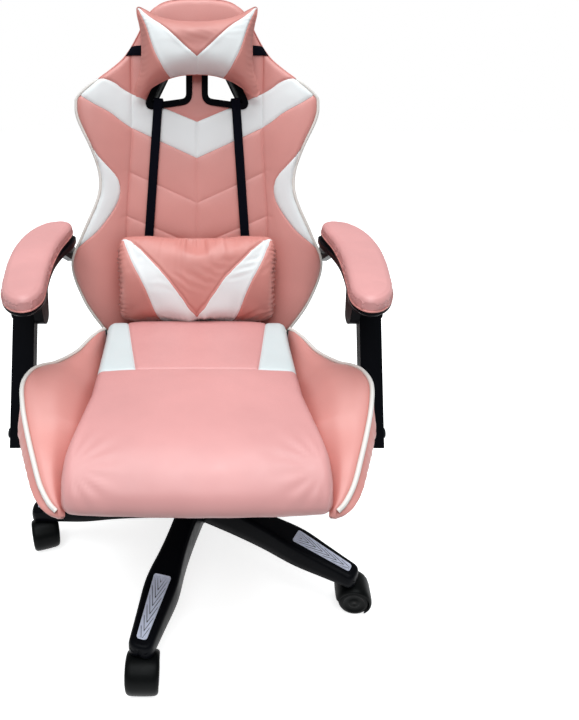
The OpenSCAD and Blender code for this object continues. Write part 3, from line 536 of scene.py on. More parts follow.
# From the back's own millimetres to the chair's frame in metres.
def backPoint(x, w, v):
    x, w, v = (np.asarray(a, float) for a in np.broadcast_arrays(x, w, v))
    y = backStart[1] + mm * (w * math.cos(lean) + v * math.sin(lean))
    z = backStart[2] + mm * (v * math.cos(lean) - w * math.sin(lean))
    return np.stack([x * mm, y, z], -1)


backShape = {
    "outline": [(150, -52), (178, -42), (203, -14), (219, 3), (261, 70), (286, 150), (261, 218), (225, 300),
                (219, 352), (234, 408), (262, 472), (266, 504), (259, 524), (217, 560), (170, 600),
                (147, 630), (129, 660), (108, 700), (76, 724), (30, 732), (0, 732)],
    "footEnd": (203, -14), "bandEnd": (259, 524), "shoulder": (217, 560), "seamEnd": (147, 630),
    "headCorner": (108, 700), "neckRow": [(0, 642), (80, 640)], "centreStitch": 150,
    "seam": [(150, -52), (157, 90), (163, 230), (155, 344), (147.5, 455), (146.5, 540), (147, 630)],
    "bandLow": [(0, 392), (146, 458), (192, 488), (230, 507), (259, 524)],
    "bandHigh": [(0, 472), (146, 532), (181, 552), (200, 559), (217, 560)],
    "waistCut": [(235, 412), (226, 400), (205, 376), (184, 353), (176, 334), (177, 308), (192, 275),
                 (226, 229), (258, 202), (276, 188)],
    "bandAtSeam": (458.0, 532.0), "stitchRows": [(193, 262), (292, 361)],
    "slot": [(12, 524), (26, 509.5), (97, 500), (107, 504), (113, 516), (68, 604), (58, 612), (24, 612),
             (12, 600)],
    "opening": [(12, 510.8), (122.8, 496.7), (63.9, 612), (12, 612)],
    "wingRise": 28.0, "rearFace": 91.0, "frontRoll": 12.0, "rearRoll": 15.0, "wallBulge": 3.5,
    "slotInset": 4.6, "panelLift": 1.8, "panelSunk": 2.2, "grooveDepth": 1.8, "grooveWidth": 2.2,
    "puff": 1.8, "stitchDepth": 0.9,
}


# The cut lines of the back's right half: outline, vertical seam, band edges and the waist panel's edge.
def linesOfBack():
    b = backShape
    outline = smoothLine(b["outline"], 16)

    # The outline's point closest to a given one.
    def nearIndex(point):
        return int(np.argmin(np.linalg.norm(outline - np.asarray(point), axis=1)))

    seam = smoothLine(b["seam"], 16)
    seam[-1] = outline[nearIndex(b["seamEnd"])]
    lower, upper = nearIndex(b["footEnd"]), nearIndex(b["bandEnd"])
    side = outline[lower:upper + 1]
    cut = smoothLine(b["waistCut"], 12)[::-1]
    inner = side.copy()
    inner[:, 0] -= 3.0
    cutX = np.interp(inner[:, 1], cut[:, 1], cut[:, 0], left=1e3, right=1e3)
    inner[:, 0] = np.minimum(inner[:, 0], cutX)
    return {"outline": outline, "seam": seam, "side": side, "inner": inner, "cut": cut[::-1],
            "index": nearIndex}


# The stretch of the seam between two heights, with exact ends.
def seamPart(seam, low, high):
    ends = [np.array([np.interp(h, seam[:, 1], seam[:, 0]), h]) for h in (low, high)]
    middle = seam[(seam[:, 1] > low + 0.5) & (seam[:, 1] < high - 0.5)]
    return np.vstack([ends[0], middle, ends[1]])


# Coons patch: the mean of the two ruled surfaces between opposite edges, less the bilinear corner term.
def patchBlock(bottom, top, left, right, s, t):
    s, t = s[:, None, None], t[None, :, None]
    return ((1 - t) * bottom[:, None] + t * top[:, None] + (1 - s) * left[None] + s * right[None]
            - (1 - s) * (1 - t) * bottom[0] - s * (1 - t) * bottom[-1]
            - (1 - s) * t * top[0] - s * t * top[-1])


# The half back as patches between its cut lines, each tagged pink, band or waist.
def backBlocks():
    b, cuts = backShape, linesOfBack()
    outline, seam, at = cuts["outline"], cuts["seam"], cuts["index"]
    sC, sI, sO = spread(26), spread(22), spread(7, 0.4)
    rows = [("low", 30), ("mid", 14), ("upper", 15), ("band", 13), ("slots", 22), ("head", 16)]
    t = {name: spread(count) for name, count in rows}
    (c2, s2), (c1, s1) = b["stitchRows"]
    bandLow, bandHigh = smoothLine(b["bandLow"], 12), smoothLine(b["bandHigh"], 12)
    vLow, vHigh = b["bandAtSeam"]

    # The seam's place across at a height.
    def seamX(v):
        return float(np.interp(v, seam[:, 1], seam[:, 0]))

    footX, footV = b["outline"][0]
    centreRows = [((0, footV), (footX, footV)), ((0, c2), (seamX(s2), s2)), ((0, c1), (seamX(s1), s1))]
    cross = [np.array(r, float) for r in centreRows]

    # The part of a line up to a height, ending on the seam.
    def untilSeam(line, v):
        part = line[line[:, 1] < v - 0.2]
        return np.vstack([part, (seamX(v), v)])

    # The part of a line from the seam at a height to the given end.
    def afterSeam(line, v, end):
        part = line[(line[:, 1] > v + 0.2) & (line[:, 0] < end[0] - 1.5)]
        return np.vstack([(seamX(v), v), part, end])

    cross += [untilSeam(bandLow, vLow), untilSeam(bandHigh, vHigh)]
    neck = smoothLine(b["neckRow"] + [tuple(seam[-1])], 10)
    cross.append(neck)
    seamHeights = [footV, s2, s1, vLow, vHigh, seam[-1][1]]
    blocks = []
    for k, (name, _) in enumerate(rows[:5]):
        low, high = cross[k], cross[k + 1]
        left = np.array([low[0], high[0]])
        right = seamPart(seam, seamHeights[k], seamHeights[k + 1])
        patch = patchBlock(along(low, sC), along(high, sC), along(left, t[name]), along(right, t[name]),
                           sC, t[name])
        blocks.append((patch, "band" if name == "band" else "pink"))
    corner = at(b["headCorner"])
    crownEdge, cheek = outline[corner:][::-1], outline[at(b["seamEnd"]):corner + 1]
    middle = along([b["neckRow"][0], b["outline"][-1]], t["head"])
    blocks.append((patchBlock(along(neck, sC), along(crownEdge, sC), middle, along(cheek, t["head"]),
                              sC, t["head"]), "pink"))

    # the wing follows the seam's rows, so its lower part shares the three centre rows' heights
    lowSeam = np.vstack([along(seamPart(seam, seamHeights[k], seamHeights[k + 1]), t[rows[k][0]])[(k > 0):]
                         for k in range(3)])
    share = (lowSeam[:, 1] - lowSeam[0, 1]) / (lowSeam[-1, 1] - lowSeam[0, 1])
    side, inner = cuts["side"], cuts["inner"]

    # Rows lean only near the foot and the band, so that they meet the waist panel's edge squarely.
    def byHeight(line, share):
        foot, head = np.clip(1 - share / 0.36, 0, 1), np.clip((share - 0.72) / 0.28, 0, 1)
        v = lowSeam[:, 1] + (line[0, 1] - lowSeam[0, 1]) * foot**2 * (3 - 2 * foot)
        v += (line[-1, 1] - lowSeam[-1, 1]) * head**2 * (3 - 2 * head)
        return np.stack([np.interp(v, line[:, 1], line[:, 0]), v], 1)

    sideRun, innerRun = byHeight(side, share), byHeight(inner, share)
    foot = outline[:at(b["footEnd"]) + 1]
    footInner = np.vstack([foot[foot[:, 0] < innerRun[0][0] - 2], innerRun[0]])
    bandOut = afterSeam(bandLow, vLow, innerRun[-1])
    blocks.append((patchBlock(along(footInner, sI), along(bandOut, sI), lowSeam, innerRun, sI, share),
                   "pink"))
    blocks.append((patchBlock(along([innerRun[0], sideRun[0]], sO), along([innerRun[-1], sideRun[-1]], sO),
                              innerRun, sideRun, sO, share), "waist"))
    topRight = outline[at(b["shoulder"])]
    topInner = topRight + (-3.0, 0.5)
    highOut = afterSeam(bandHigh, vHigh, topInner)
    seamBand = along(seamPart(seam, vLow, vHigh), t["band"])
    shoulder = along(outline[at(b["bandEnd"]):at(b["shoulder"]) + 1], t["band"])
    shoulderIn = along([innerRun[-1], shoulder[len(shoulder) // 2] - (3, 1), topInner], t["band"])
    blocks.append((patchBlock(along(bandOut, sI), along(highOut, sI), seamBand, shoulderIn, sI, t["band"]),
                   "band"))
    blocks.append((patchBlock(along([innerRun[-1], sideRun[-1]], sO), along([topInner, topRight], sO),
                              shoulderIn, shoulder, sO, t["band"]), "band"))
    tip = seam[-1]
    slope = along(outline[at(b["shoulder"]):at(b["seamEnd"]) + 1], t["slots"])
    fade = (1 - t["slots"])[:, None]
    slopeIn = slope + fade * np.array([-3.0, 0.5])
    seamTop = along(seamPart(seam, vHigh, seam[-1][1]), t["slots"])
    blocks.append((patchBlock(along(highOut, sI), np.repeat([tip], len(sI), 0), seamTop, slopeIn, sI,
                              t["slots"]), "pink"))
    blocks.append((patchBlock(along([topInner, topRight], sO), np.repeat([tip], len(sO), 0), slopeIn,
                              slope, sO, t["slots"]), "pink"))
    waistRange = (cuts["cut"][:, 1].min(), cuts["cut"][:, 1].max())
    return blocks, cuts, waistRange


# All patches and their mirror images as one flat mesh: shared corners are found by rounding.
def weldBlocks(blocks):
    points, faces, tags, base = [], [], [], 0
    for patch, tag in blocks:
        for p in (patch, patch[::-1] * (-1, 1)):
            f = gridFaces(*p.shape[:2])
            points.append(p.reshape(-1, 2))
            faces.append(f + base)
            tags += [tag] * len(f)
            base += p.shape[0] * p.shape[1]
    points, faces = np.vstack(points), np.vstack(faces)
    _, first, back = np.unique(np.round(points * 1e3).astype(np.int64), axis=0, return_index=True,
                               return_inverse=True)
    return points[first], back.ravel()[faces], np.array(tags)


# Even-odd rule, all points at once.
def insidePolygon(points, polygon):
    a, b = polygon, np.roll(polygon, -1, 0)
    y = points[:, 1][:, None]
    crosses = ((a[:, 1] > y) != (b[:, 1] > y)) & (
        points[:, 0][:, None] < (b[:, 0] - a[:, 0]) * (y - a[:, 1]) / (b[:, 1] - a[:, 1] + 1e-12) + a[:, 0])
    return crosses.sum(1) % 2 == 1


# Each corner of a counter-clockwise outline moved in along the mean of its two edge normals.
def insetPolygon(polygon, distance):
    p = np.asarray(polygon, float)
    edge = np.roll(p, -1, 0) - p
    normal = np.stack([-edge[:, 1], edge[:, 0]], 1) / np.linalg.norm(edge, axis=1)[:, None]
    mean = normal + np.roll(normal, 1, 0)
    mean /= np.linalg.norm(mean, axis=1)[:, None]
    return p + mean * distance / np.maximum(0.5, (mean * normal).sum(1))[:, None]


# Directed edges that only one face uses, skipping edges of no length.
def openEdges(faces):
    a, b = faces.ravel(), np.roll(faces, -1, 1).ravel()
    keep = a != b
    a, b = a[keep], b[keep]
    n = int(faces.max()) + 1
    forward, backward = a.astype(np.int64) * n + b, b.astype(np.int64) * n + a
    single = ~np.isin(forward, backward)
    return a[single], b[single]


# Closes a flat mesh into a shell: a front and a rear sheet, and walls of some rows along every open edge.
# A wall row at a share of the depth is pushed outwards by bulge * wallShape(share), or a half sine.
def thickShell(flat, faces, front, rear, wallRows=1, bulge=None, place3d=backPoint, wallShape=None):
    wallShape = wallShape or (lambda share: math.sin(math.pi * share))
    used, inverse = np.unique(faces, return_inverse=True)
    faces, flat, front, rear = inverse.reshape(faces.shape), flat[used], front[used], rear[used]
    n = len(flat)
    a, b = openEdges(faces)
    rim = np.unique(np.concatenate([a, b]))
    place = np.full(n, -1)
    place[rim] = np.arange(len(rim))
    edge = flat[b] - flat[a]
    out = np.stack([edge[:, 1], -edge[:, 0]], 1) / (np.linalg.norm(edge, axis=1)[:, None] + 1e-9)
    normal = np.zeros((n, 2))
    np.add.at(normal, a, out)
    np.add.at(normal, b, out)
    normal = normal[rim] / (np.linalg.norm(normal[rim], axis=1)[:, None] + 1e-9)
    push = np.zeros(len(rim)) if bulge is None else bulge[used][rim]
    sheets = [place3d(flat[:, 0], front, flat[:, 1]), place3d(flat[:, 0], rear, flat[:, 1])]
    allFaces = [faces, faces[:, ::-1] + n]
    previous, base = a, 2 * n
    prevB = b
    for row in range(1, wallRows + 1):
        share = row / wallRows
        if row == wallRows:
            nowA, nowB = a + n, b + n
        else:
            xy = flat[rim] + normal * (push * wallShape(share))[:, None]
            w = front[rim] * (1 - share) + rear[rim] * share
            sheets.append(place3d(xy[:, 0], w, xy[:, 1]))
            nowA, nowB = base + place[a], base + place[b]
            base += len(rim)
        allFaces.append(np.stack([previous, nowA, nowB, prevB], 1))
        previous, prevB = nowA, nowB
    return np.vstack(sheets), np.vstack(allFaces)


# Depth of the back's face: wings rise from the seam as a quarter sine, panels puff up between seams, and
# the edge rolls over as a quarter circle.
def backFront(points, cuts, seamLines, stitchLines):
    b = backShape
    x, v = np.abs(points[:, 0]), points[:, 1]
    seamX = np.interp(v, cuts["seam"][:, 1], cuts["seam"][:, 0])
    rise = np.clip((x - seamX) / 112, 0, 1)
    w = b["wingRise"] * (1 - np.sin(np.pi / 2 * rise) ** 1.15)
    fold = np.stack([x, v], 1)
    seamGap, stitchGap = nearest(fold, seamLines, 2.0), nearest(fold, stitchLines, 2.0)
    edgeGap = nearest(fold, [cuts["outline"]], 2.0)
    gap = np.minimum(seamGap, stitchGap)
    w -= b["puff"] * (1 - np.exp(-(gap / 20) ** 1.4)) * np.clip(edgeGap / 30, 0, 1)
    w += b["grooveDepth"] * np.exp(-(seamGap / b["grooveWidth"]) ** 2)
    w += b["stitchDepth"] * (np.exp(-(stitchGap / 1.7) ** 2) + 0.33 * np.exp(-(stitchGap / 7) ** 2))
    pulls = np.sin((v + 0.35 * x) * 2 * np.pi / 15 + 1.7 * np.sin(v / 27))
    w += 0.45 * pulls * np.exp(-((stitchGap - 7) / 6) ** 2) * np.clip(stitchGap / 4, 0, 1)
    w += 0.35 * ripple(points, [(70, 1.0), (34, 0.6)], 11) * np.clip(edgeGap / 20, 0, 1)
    return w + rollOver(edgeGap, b["frontRoll"]), edgeGap


# The back is one thick pink shell, sunk a little under the white panels, each a thin shell of its own.
def makeBack():
    b = backShape
    blocks, cuts, waistRange = backBlocks()
    flat, faces, tags = weldBlocks(blocks)
    centre = flat[faces].mean(1)
    slot = insetPolygon(b["slot"], b["slotInset"])
    hole = insidePolygon(np.stack([np.abs(centre[:, 0]), centre[:, 1]], 1), slot)
    white = (tags == "band") | ((tags == "waist") & (centre[:, 1] > waistRange[0])
                                & (centre[:, 1] < waistRange[1]))
    faces, white = faces[~hole], white[~hole]
    bandLow, bandHigh = smoothLine(b["bandLow"], 12), smoothLine(b["bandHigh"], 12)
    (c2, s2), (c1, s1) = b["stitchRows"]
    seam = cuts["seam"]
    x1, x2 = np.interp((s1, s2), seam[:, 1], seam[:, 0])
    seamLines = [seam, bandLow, bandHigh, cuts["cut"], np.array([b["bandLow"][0], b["bandHigh"][0]])]
    stitchLines = [np.array([(0, c2), (x2, s2)]), np.array([(0, c1), (x1, s1)]),
                   np.array([(0, b["centreStitch"]), b["bandLow"][0]])]
    front, edgeGap = backFront(flat, cuts, seamLines, stitchLines)
    fold = np.stack([np.abs(flat[:, 0]), flat[:, 1]], 1)
    rearSeam = nearest(fold, [seam], 2.0)
    rear = b["rearFace"] - rollOver(edgeGap, b["rearRoll"]) - 1.6 * np.exp(-(rearSeam / 2.4) ** 2)
    bulge = np.where(edgeGap < 0.5, b["wallBulge"], 0.0)
    under = front.copy()
    hidden = np.zeros(len(flat), bool)
    hidden[np.unique(faces[white])] = True
    hidden[np.unique(faces[~white])] = False
    under[hidden] += b["panelSunk"]
    core = buildPiece("backUpholstery", *thickShell(flat, faces, under, rear, 10, bulge), "pink", weld=None)
    settle(core, "back", ("back_panel", "back_wings", "back_cover"))
    panel = buildPiece("backWhitePanels", *thickShell(flat, faces[white], front, front + b["panelLift"]),
                       "white", weld=None)
    settle(panel, "back")
    return cuts


cuts = makeBack()
print("back done")


noStitch = np.array([(0, 0), (0, 1)])  # a stitch line out of the way, where the quilting doesn't reach
# Radii of the cords and welts in millimetres.
cordRadius = {"back": 3.6, "rear": 2.4, "head": 1.7, "seat": 4.1, "armPad": 1.6, "pillow": 1.1}


# Outward unit normals of an open flat line that runs counter-clockwise.
def outlineNormals(line):
    ahead = np.gradient(line, axis=0)
    ahead /= np.linalg.norm(ahead, axis=1)[:, None]
    return np.stack([ahead[:, 1], -ahead[:, 0]], 1)


# A line cut into equal steps of about the given length.
def evenly(line, step):
    return along(line, np.linspace(0, 1, max(4, int(lineLength(line) / step))))


# White cord along the wings' front edge, from shoulder round the foot to shoulder; plain cord behind.
def makeBackPiping():
    b = backShape
    outline = cuts["outline"]
    half = evenly(outline[:cuts["index"](b["shoulder"]) + 1], 4.0)
    rise, _ = backFront(half, cuts, [cuts["seam"]], [noStitch])
    out = half + outlineNormals(half) * 0.7
    right = backPoint(out[:, 0], rise - 1.5, out[:, 1])
    foot = evenly(np.array([(0, -52), (148, -52)]), 6.0)[:-1]
    footW = np.full(len(foot), b["wingRise"] + b["frontRoll"] - 2)
    footW[-6:] = np.linspace(footW[0], rise[0] - 1.5, 6)
    middle = backPoint(foot[:, 0], footW, foot[:, 1] - 1.2)
    path = np.vstack([(right * (-1, 1, 1))[::-1], (middle * (-1, 1, 1))[::-1], middle[1:], right])
    ends = np.minimum(np.arange(len(path)), np.arange(len(path))[::-1])
    slim = np.clip(0.35 + ends / 6, 0, 1)
    path = path + np.array([0, 3.0 * mm, 0]) * (1 - slim)[:, None]
    white = buildPiece("backPiping", *sweep(path, roundProfile(cordRadius["back"] * mm), up=(0, -1, 0.2),
                                            scale=slim), "piping")
    settle(white, "back")
    whole = evenly(outline[3:-1], 5.0)
    edge = whole + outlineNormals(whole) * 0.6
    rim = backPoint(edge[:, 0], b["rearFace"] - b["rearRoll"] + 1, edge[:, 1])
    ring = np.vstack([rim, (rim * (-1, 1, 1))[::-1]])
    plain = buildPiece("backRearPiping", *sweep(ring, roundProfile(cordRadius["rear"] * mm), True,
                                                (0, 1, 0)), "pink")
    settle(plain, "back")
    head = evenly(outline[cuts["index"](b["shoulder"]):-1], 4.0)
    rise, _ = backFront(head, cuts, [cuts["seam"]], [noStitch])
    edge = head + outlineNormals(head) * 0.4
    right = backPoint(edge[:, 0], rise - 0.5, edge[:, 1])
    path = np.vstack([right, (right * (-1, 1, 1))[::-1]])
    welt = buildPiece("headWelt", *sweep(path, roundProfile(cordRadius["head"] * mm, 8), up=(0, -1, 0)),
                      "pink")
    settle(welt, "back")


makeBackPiping()
print("back piping done")


# The seat is worked out in millimetres of the chair's own frame, y to the rear and z up.
cushionShape = {
    "profile": [(141, 392), (142, 425), (141, 458), (135, 477), (117, 485.5), (72, 482.5), (10, 476.5),
                (-80, 472.5), (-170, 471), (-250, 467.5), (-305, 459.5), (-345, 444), (-372, 421),
                (-381, 400), (-377, 383), (-363, 371)],
    "halfWidth": ([-381, -360, -321, -240, -164, -60, 119, 139], [199, 201, 201, 193, 188, 192, 199, 192]),
    "crossSeam": -82.0, "patchLine": ([-82, 141], [117, 158]),
    "middle": (-120.0, 420.0), "roll": 14.0, "crown": 6.0, "sideDepth": (8, 22, 42), "skirt": 384.0,
    "seamDepth": 2.4, "puff": 1.8, "pull": 0.8,
}


# The centre cushion: a profile from rear to front carried across, its sides rolled in along the profile's
# inward normal, with cut lines for the white corner patches and the cross seam.
def makeCushion():
    c = cushionShape
    line = smoothLine(c["profile"], 24)
    run = runLengths(line)
    seamRun = float(np.interp(-c["crossSeam"], -line[60:, 0], run[60:]))
    t = np.concatenate([spread(46) * seamRun, seamRun + spread(84)[1:] * (run[-1] - seamRun)])
    y, z = np.interp(t, run, line[:, 0]), np.interp(t, run, line[:, 1])
    dy, dz = np.gradient(y, t), np.gradient(z, t)
    size = np.hypot(dy, dz)
    inward = np.stack([dz / size, -dy / size], 1)
    inward *= np.sign(((np.array(c["middle"]) - np.stack([y, z], 1)) * inward).sum(1))[:, None]
    half = np.interp(y, *c["halfWidth"])
    half = half + 2 * np.clip((t - (run[-1] - 60)) / 60, 0, 1) ** 2
    patch = np.interp(y, *c["patchLine"])
    patch = np.where(t > seamRun,
                     np.interp(t, [seamRun, run[-1]], [patch[np.searchsorted(t, seamRun)], 128]), patch)
    inner, outer = spread(52, 0.75), spread(24)
    x = np.concatenate([patch[:, None] * (2 * inner[None] - 1),
                        patch[:, None] + (half - patch)[:, None] * outer[None, 1:]], 1)
    left = -(patch[:, None] + (half - patch)[:, None] * outer[None, 1:])[:, ::-1]
    x = np.concatenate([left, x], 1)
    cols = x.shape[1]
    gap = half[:, None] - np.abs(x)
    roll = c["roll"] + 5 * np.clip((t - (run[-1] - 150)) / 120, 0, 1)[:, None]
    depth = rollOver(gap, roll)
    depth += c["crown"] * (np.abs(x) / half[:, None]) ** 2.4
    flat = np.stack([np.abs(x), np.broadcast_to(t[:, None], x.shape)], -1).reshape(-1, 2)
    cross = np.array([(0, seamRun), (200, seamRun)])
    rearPatch = np.stack([patch[t <= seamRun], t[t <= seamRun]], 1)
    seamGap = nearest(flat, [cross, rearPatch], 2.0).reshape(x.shape)
    depth += (c["seamDepth"] * np.exp(-(seamGap / 2.3) ** 2)
              - c["puff"] * (1 - np.exp(-(seamGap / 16) ** 1.5)))
    edge = np.clip(gap / 30, 0, 1)
    flatSigned = np.stack([x, np.broadcast_to(t[:, None], x.shape)], -1).reshape(-1, 2)
    depth += edge * 0.8 * ripple(flatSigned, [(150, 1.0), (60, 0.5)], 3).reshape(x.shape)
    # pulls that fan from the front corners
    dx, dt = 188 - np.abs(x), t[:, None] - (run[-1] - 95)
    reach, angle = np.hypot(dx, dt), np.arctan2(dx, -dt + 1e-6)
    fan = np.sin(angle * 15 + np.sign(x) * 0.9) * np.exp(-((reach - 45) / 32) ** 2)
    depth += c["pull"] * fan * np.clip(gap / 12, 0, 1)
    points = np.stack([x, y[:, None] + inward[:, None, 0] * depth,
                       z[:, None] + inward[:, None, 1] * depth], -1)
    walls = []
    for extra in c["sideDepth"]:
        k = roll[:, 0] + c["crown"] + extra
        walls.append(np.stack([half, y + inward[:, 0] * k, z + inward[:, 1] * k], -1))
    right = np.stack(walls, 1)
    points = np.concatenate([right[:, ::-1] * (-1, 1, 1), points, right], 1)
    rows, cols = points.shape[:2]
    faces = gridFaces(rows, cols)
    mid = np.add.outer(t[:-1] + 0.1, np.zeros(cols - 1)).ravel()
    wide = 0.5 * (points[:-1, :-1, 0] + points[:-1, 1:, 0]).ravel()
    limit = np.repeat(patch[:-1], cols - 1)
    white = (mid < seamRun) & (np.abs(wide) > limit + 0.01)
    ring = np.concatenate([np.arange(cols), np.arange(1, rows) * cols + cols - 1,
                           (rows - 1) * cols + np.arange(cols - 2, -1, -1),
                           np.arange(rows - 2, 0, -1) * cols])
    verts = points.reshape(-1, 3)
    low = verts[ring].copy()
    low[:, 2] = np.minimum(low[:, 2], c["skirt"])
    low[:, :2] *= 0.93
    lower = low * (0.5, 0.5, 1)
    pole = np.array([[0, c["middle"][0], c["skirt"]]])
    n, m = len(verts), len(ring)
    k = np.arange(m)
    k2 = (k + 1) % m
    faces = np.vstack([faces[:, ::-1],
                       np.stack([ring[k], ring[k2], n + k2, n + k], 1),
                       np.stack([n + k, n + k2, n + m + k2, n + m + k], 1),
                       np.stack([n + m + k, n + m + k2, np.full(m, n + 2 * m), np.full(m, n + 2 * m)], 1)])
    verts = np.vstack([verts, low, lower, pole])
    tags = np.zeros(len(faces), np.int32)
    tags[:len(white)] = white
    body = buildPiece("seatCushion", verts * mm, faces, "seatPink", weld=None, extra=["shadedSeatWhite"],
                      material=tags)
    settle(body, "seat", ("seat_cushion",))


makeCushion()
print("cushion done")

bolsterShape = {
    "crest": [(205, 96, 478), (211, 70, 481), (224, 32, 481), (242, -16, 474), (267, -74, 480),
              (286, -108, 491), (297, -138, 496), (301, -175, 490), (291, -215, 472), (274.6, -256, 450),
              (251, -308, 430), (234, -341, 411), (217, -362, 396), (205, -369, 387)],
    "floor": 371.0, "valley": 440.0, "gather": 1.3,
}


# Each bolster is a closed ring of profile points carried along the crest: up from beside the cushion,
# over a full face to the crest, out over a gathered side panel and back under.
def makeBolsters():
    b = bolsterShape
    crest = evenly(smoothLine(b["crest"], 12), 4.5)
    n = len(crest)
    xc, yc, zc = crest.T
    share = np.linspace(0, 1, n)
    front = np.clip((yc + 250) / -118, 0, 1)
    xi = np.interp(yc, *cushionShape["halfWidth"]) + 1.5 - 8 * front**2
    floor = np.full(n, b["floor"])
    valley = np.maximum(np.minimum(b["valley"], zc - 10 - 14 * (1 - front)), floor + 5)
    wide = xc - xi
    rise = zc - valley
    tall = zc - floor
    post = (yc < -95) & (yc > -196)
    push = 2 + 12 * np.clip((-yc - 175) / 55, 0, 1)
    low = np.maximum(xc - 10 - 4 * front, xi + 14)
    low = np.where(post, np.minimum(low, 288), low)
    mid = np.where(post, np.minimum(xc + push, 297), xc + push)
    corners = [
        (xi + 3, floor + 0.2 * (valley - floor)), (xi + 1, floor + 0.5 * (valley - floor)),
        (xi, floor + 0.9 * (valley - floor)), (xi + 0.07 * wide, valley + 0.10 * rise),
        (xi + 0.22 * wide, valley + 0.42 * rise + 1), (xi + 0.45 * wide, valley + 0.74 * rise + 4),
        (xi + 0.72 * wide, valley + 0.94 * rise + 4), (xi + 0.9 * wide, zc + 1.5), (xc - 2.5, zc - 2.0),
        (xc + 1.5, zc - np.minimum(5.5, 0.3 * tall)),
        (xc + 0.55 * push + 2, zc - 0.16 * tall - np.minimum(4, 0.1 * tall)),
        (mid, zc - 0.42 * tall), (0.5 * (mid + low) + 1, zc - 0.72 * tall),
        (low, floor + np.minimum(5, 0.1 * tall)), (low - 0.2 * (low - xi), floor),
        (0.5 * (xi + low), floor), (xi + 0.15 * (low - xi), floor + 1)]
    ring = np.stack([np.stack(np.broadcast_arrays(a, c), 1) for a, c in corners], 1)
    k = ring.shape[1]
    steps = 6
    a, p, q, d = (ring[:, (np.arange(k) + o) % k][:, :, None] for o in (-1, 0, 1, 2))
    u = (np.arange(steps) / steps)[None, None, :, None]
    fine = 0.5 * (2 * p + (q - a) * u + (2 * a - 5 * p + 4 * q - d) * u**2 + (3 * p - a - 3 * q + d) * u**3)
    fine = fine.reshape(n, k * steps, 2)
    # gathers below the piping, fading down the side panel
    place = np.arange(k * steps) / steps
    outside = np.exp(-((place - 10.2) / 1.3) ** 2)
    run = share * lineLength(crest)
    folds = np.sin(run * 2 * np.pi / 17 + 2.2 * np.sin(run / 31)) + 0.5 * np.sin(run * 2 * np.pi / 9.3)
    fade = np.clip(1 - np.abs(share - 0.6) / 0.4, 0, 1)
    fine[:, :, 0] += b["gather"] * (folds * fade)[:, None] * outside[None]
    face = np.exp(-((place - 5.5) / 2.0) ** 2)
    waves = ripple(np.stack([run, np.zeros(n)], 1), [(120, 1.2), (55, 0.6)], 8)
    fine[:, :, 1] += waves[:, None] * face[None]
    lowRear = np.clip((yc - 60) / 36, 0, 1) ** 2
    points = np.concatenate([fine[:, :, :1], np.broadcast_to(yc[:, None, None], fine.shape[:2] + (1,)),
                             fine[:, :, 1:]], 2)
    centre = points.mean(1, keepdims=True)
    shrink = 1 - 0.06 * lowRear
    points = centre + (points - centre) * shrink[:, None, None]
    faces = gridFaces(n, k * steps, False, True)
    verts = points.reshape(-1, 3)
    ends = np.array([points[0].mean(0) + (0, 5, 0), points[-1].mean(0) + (-1, -5, 0)])
    faces = np.vstack([faces, endFans(n, k * steps)])
    verts = np.vstack([verts, ends]) * mm
    body = buildPiece("seatBolsters", *bothSides(verts, faces), "pink", weld=None)
    outwards(body)
    settle(body, "seat", ("seat_bolsters",))
    lift = 3.0 * np.clip((yc + 130) / 60, 0, 1) - 1.2 - 1.6 * lowRear
    cord = sweep((crest + np.stack([np.full(n, 0.6), np.zeros(n), lift], 1)) * mm,
                 roundProfile(cordRadius["seat"] * mm, 12))
    tube = buildPiece("seatPiping", *bothSides(*cord), "piping")
    settle(tube, "seat")


makeBolsters()
print("bolsters done")


padShape = {
    "outline": [(268, 96), (267, 128), (270, 146), (282, 157), (300, 158.5), (329, 142), (348, 92),
                (352, 20), (345, -46), (333, -108), (322, -156), (311, -188), (292, -212), (272, -220),
                (257, -210), (250, -180), (257, -128), (265, -70), (270.5, -12), (272, 48), (268, 96)],
    "corners": [(270, 146), (329, 142), (311, -188), (257, -210)],
    "thick": 24.5, "roll": 11.0, "bulge": 2.5, "side": 141.0, "slope": 6.84, "inset": 2.6,
    "seam": (0.22, 0.05, 1.5), "weltDepth": 22.5, "rimDepth": 27.2, "rimRadius": 3.6, "rimInset": 2.2,
}


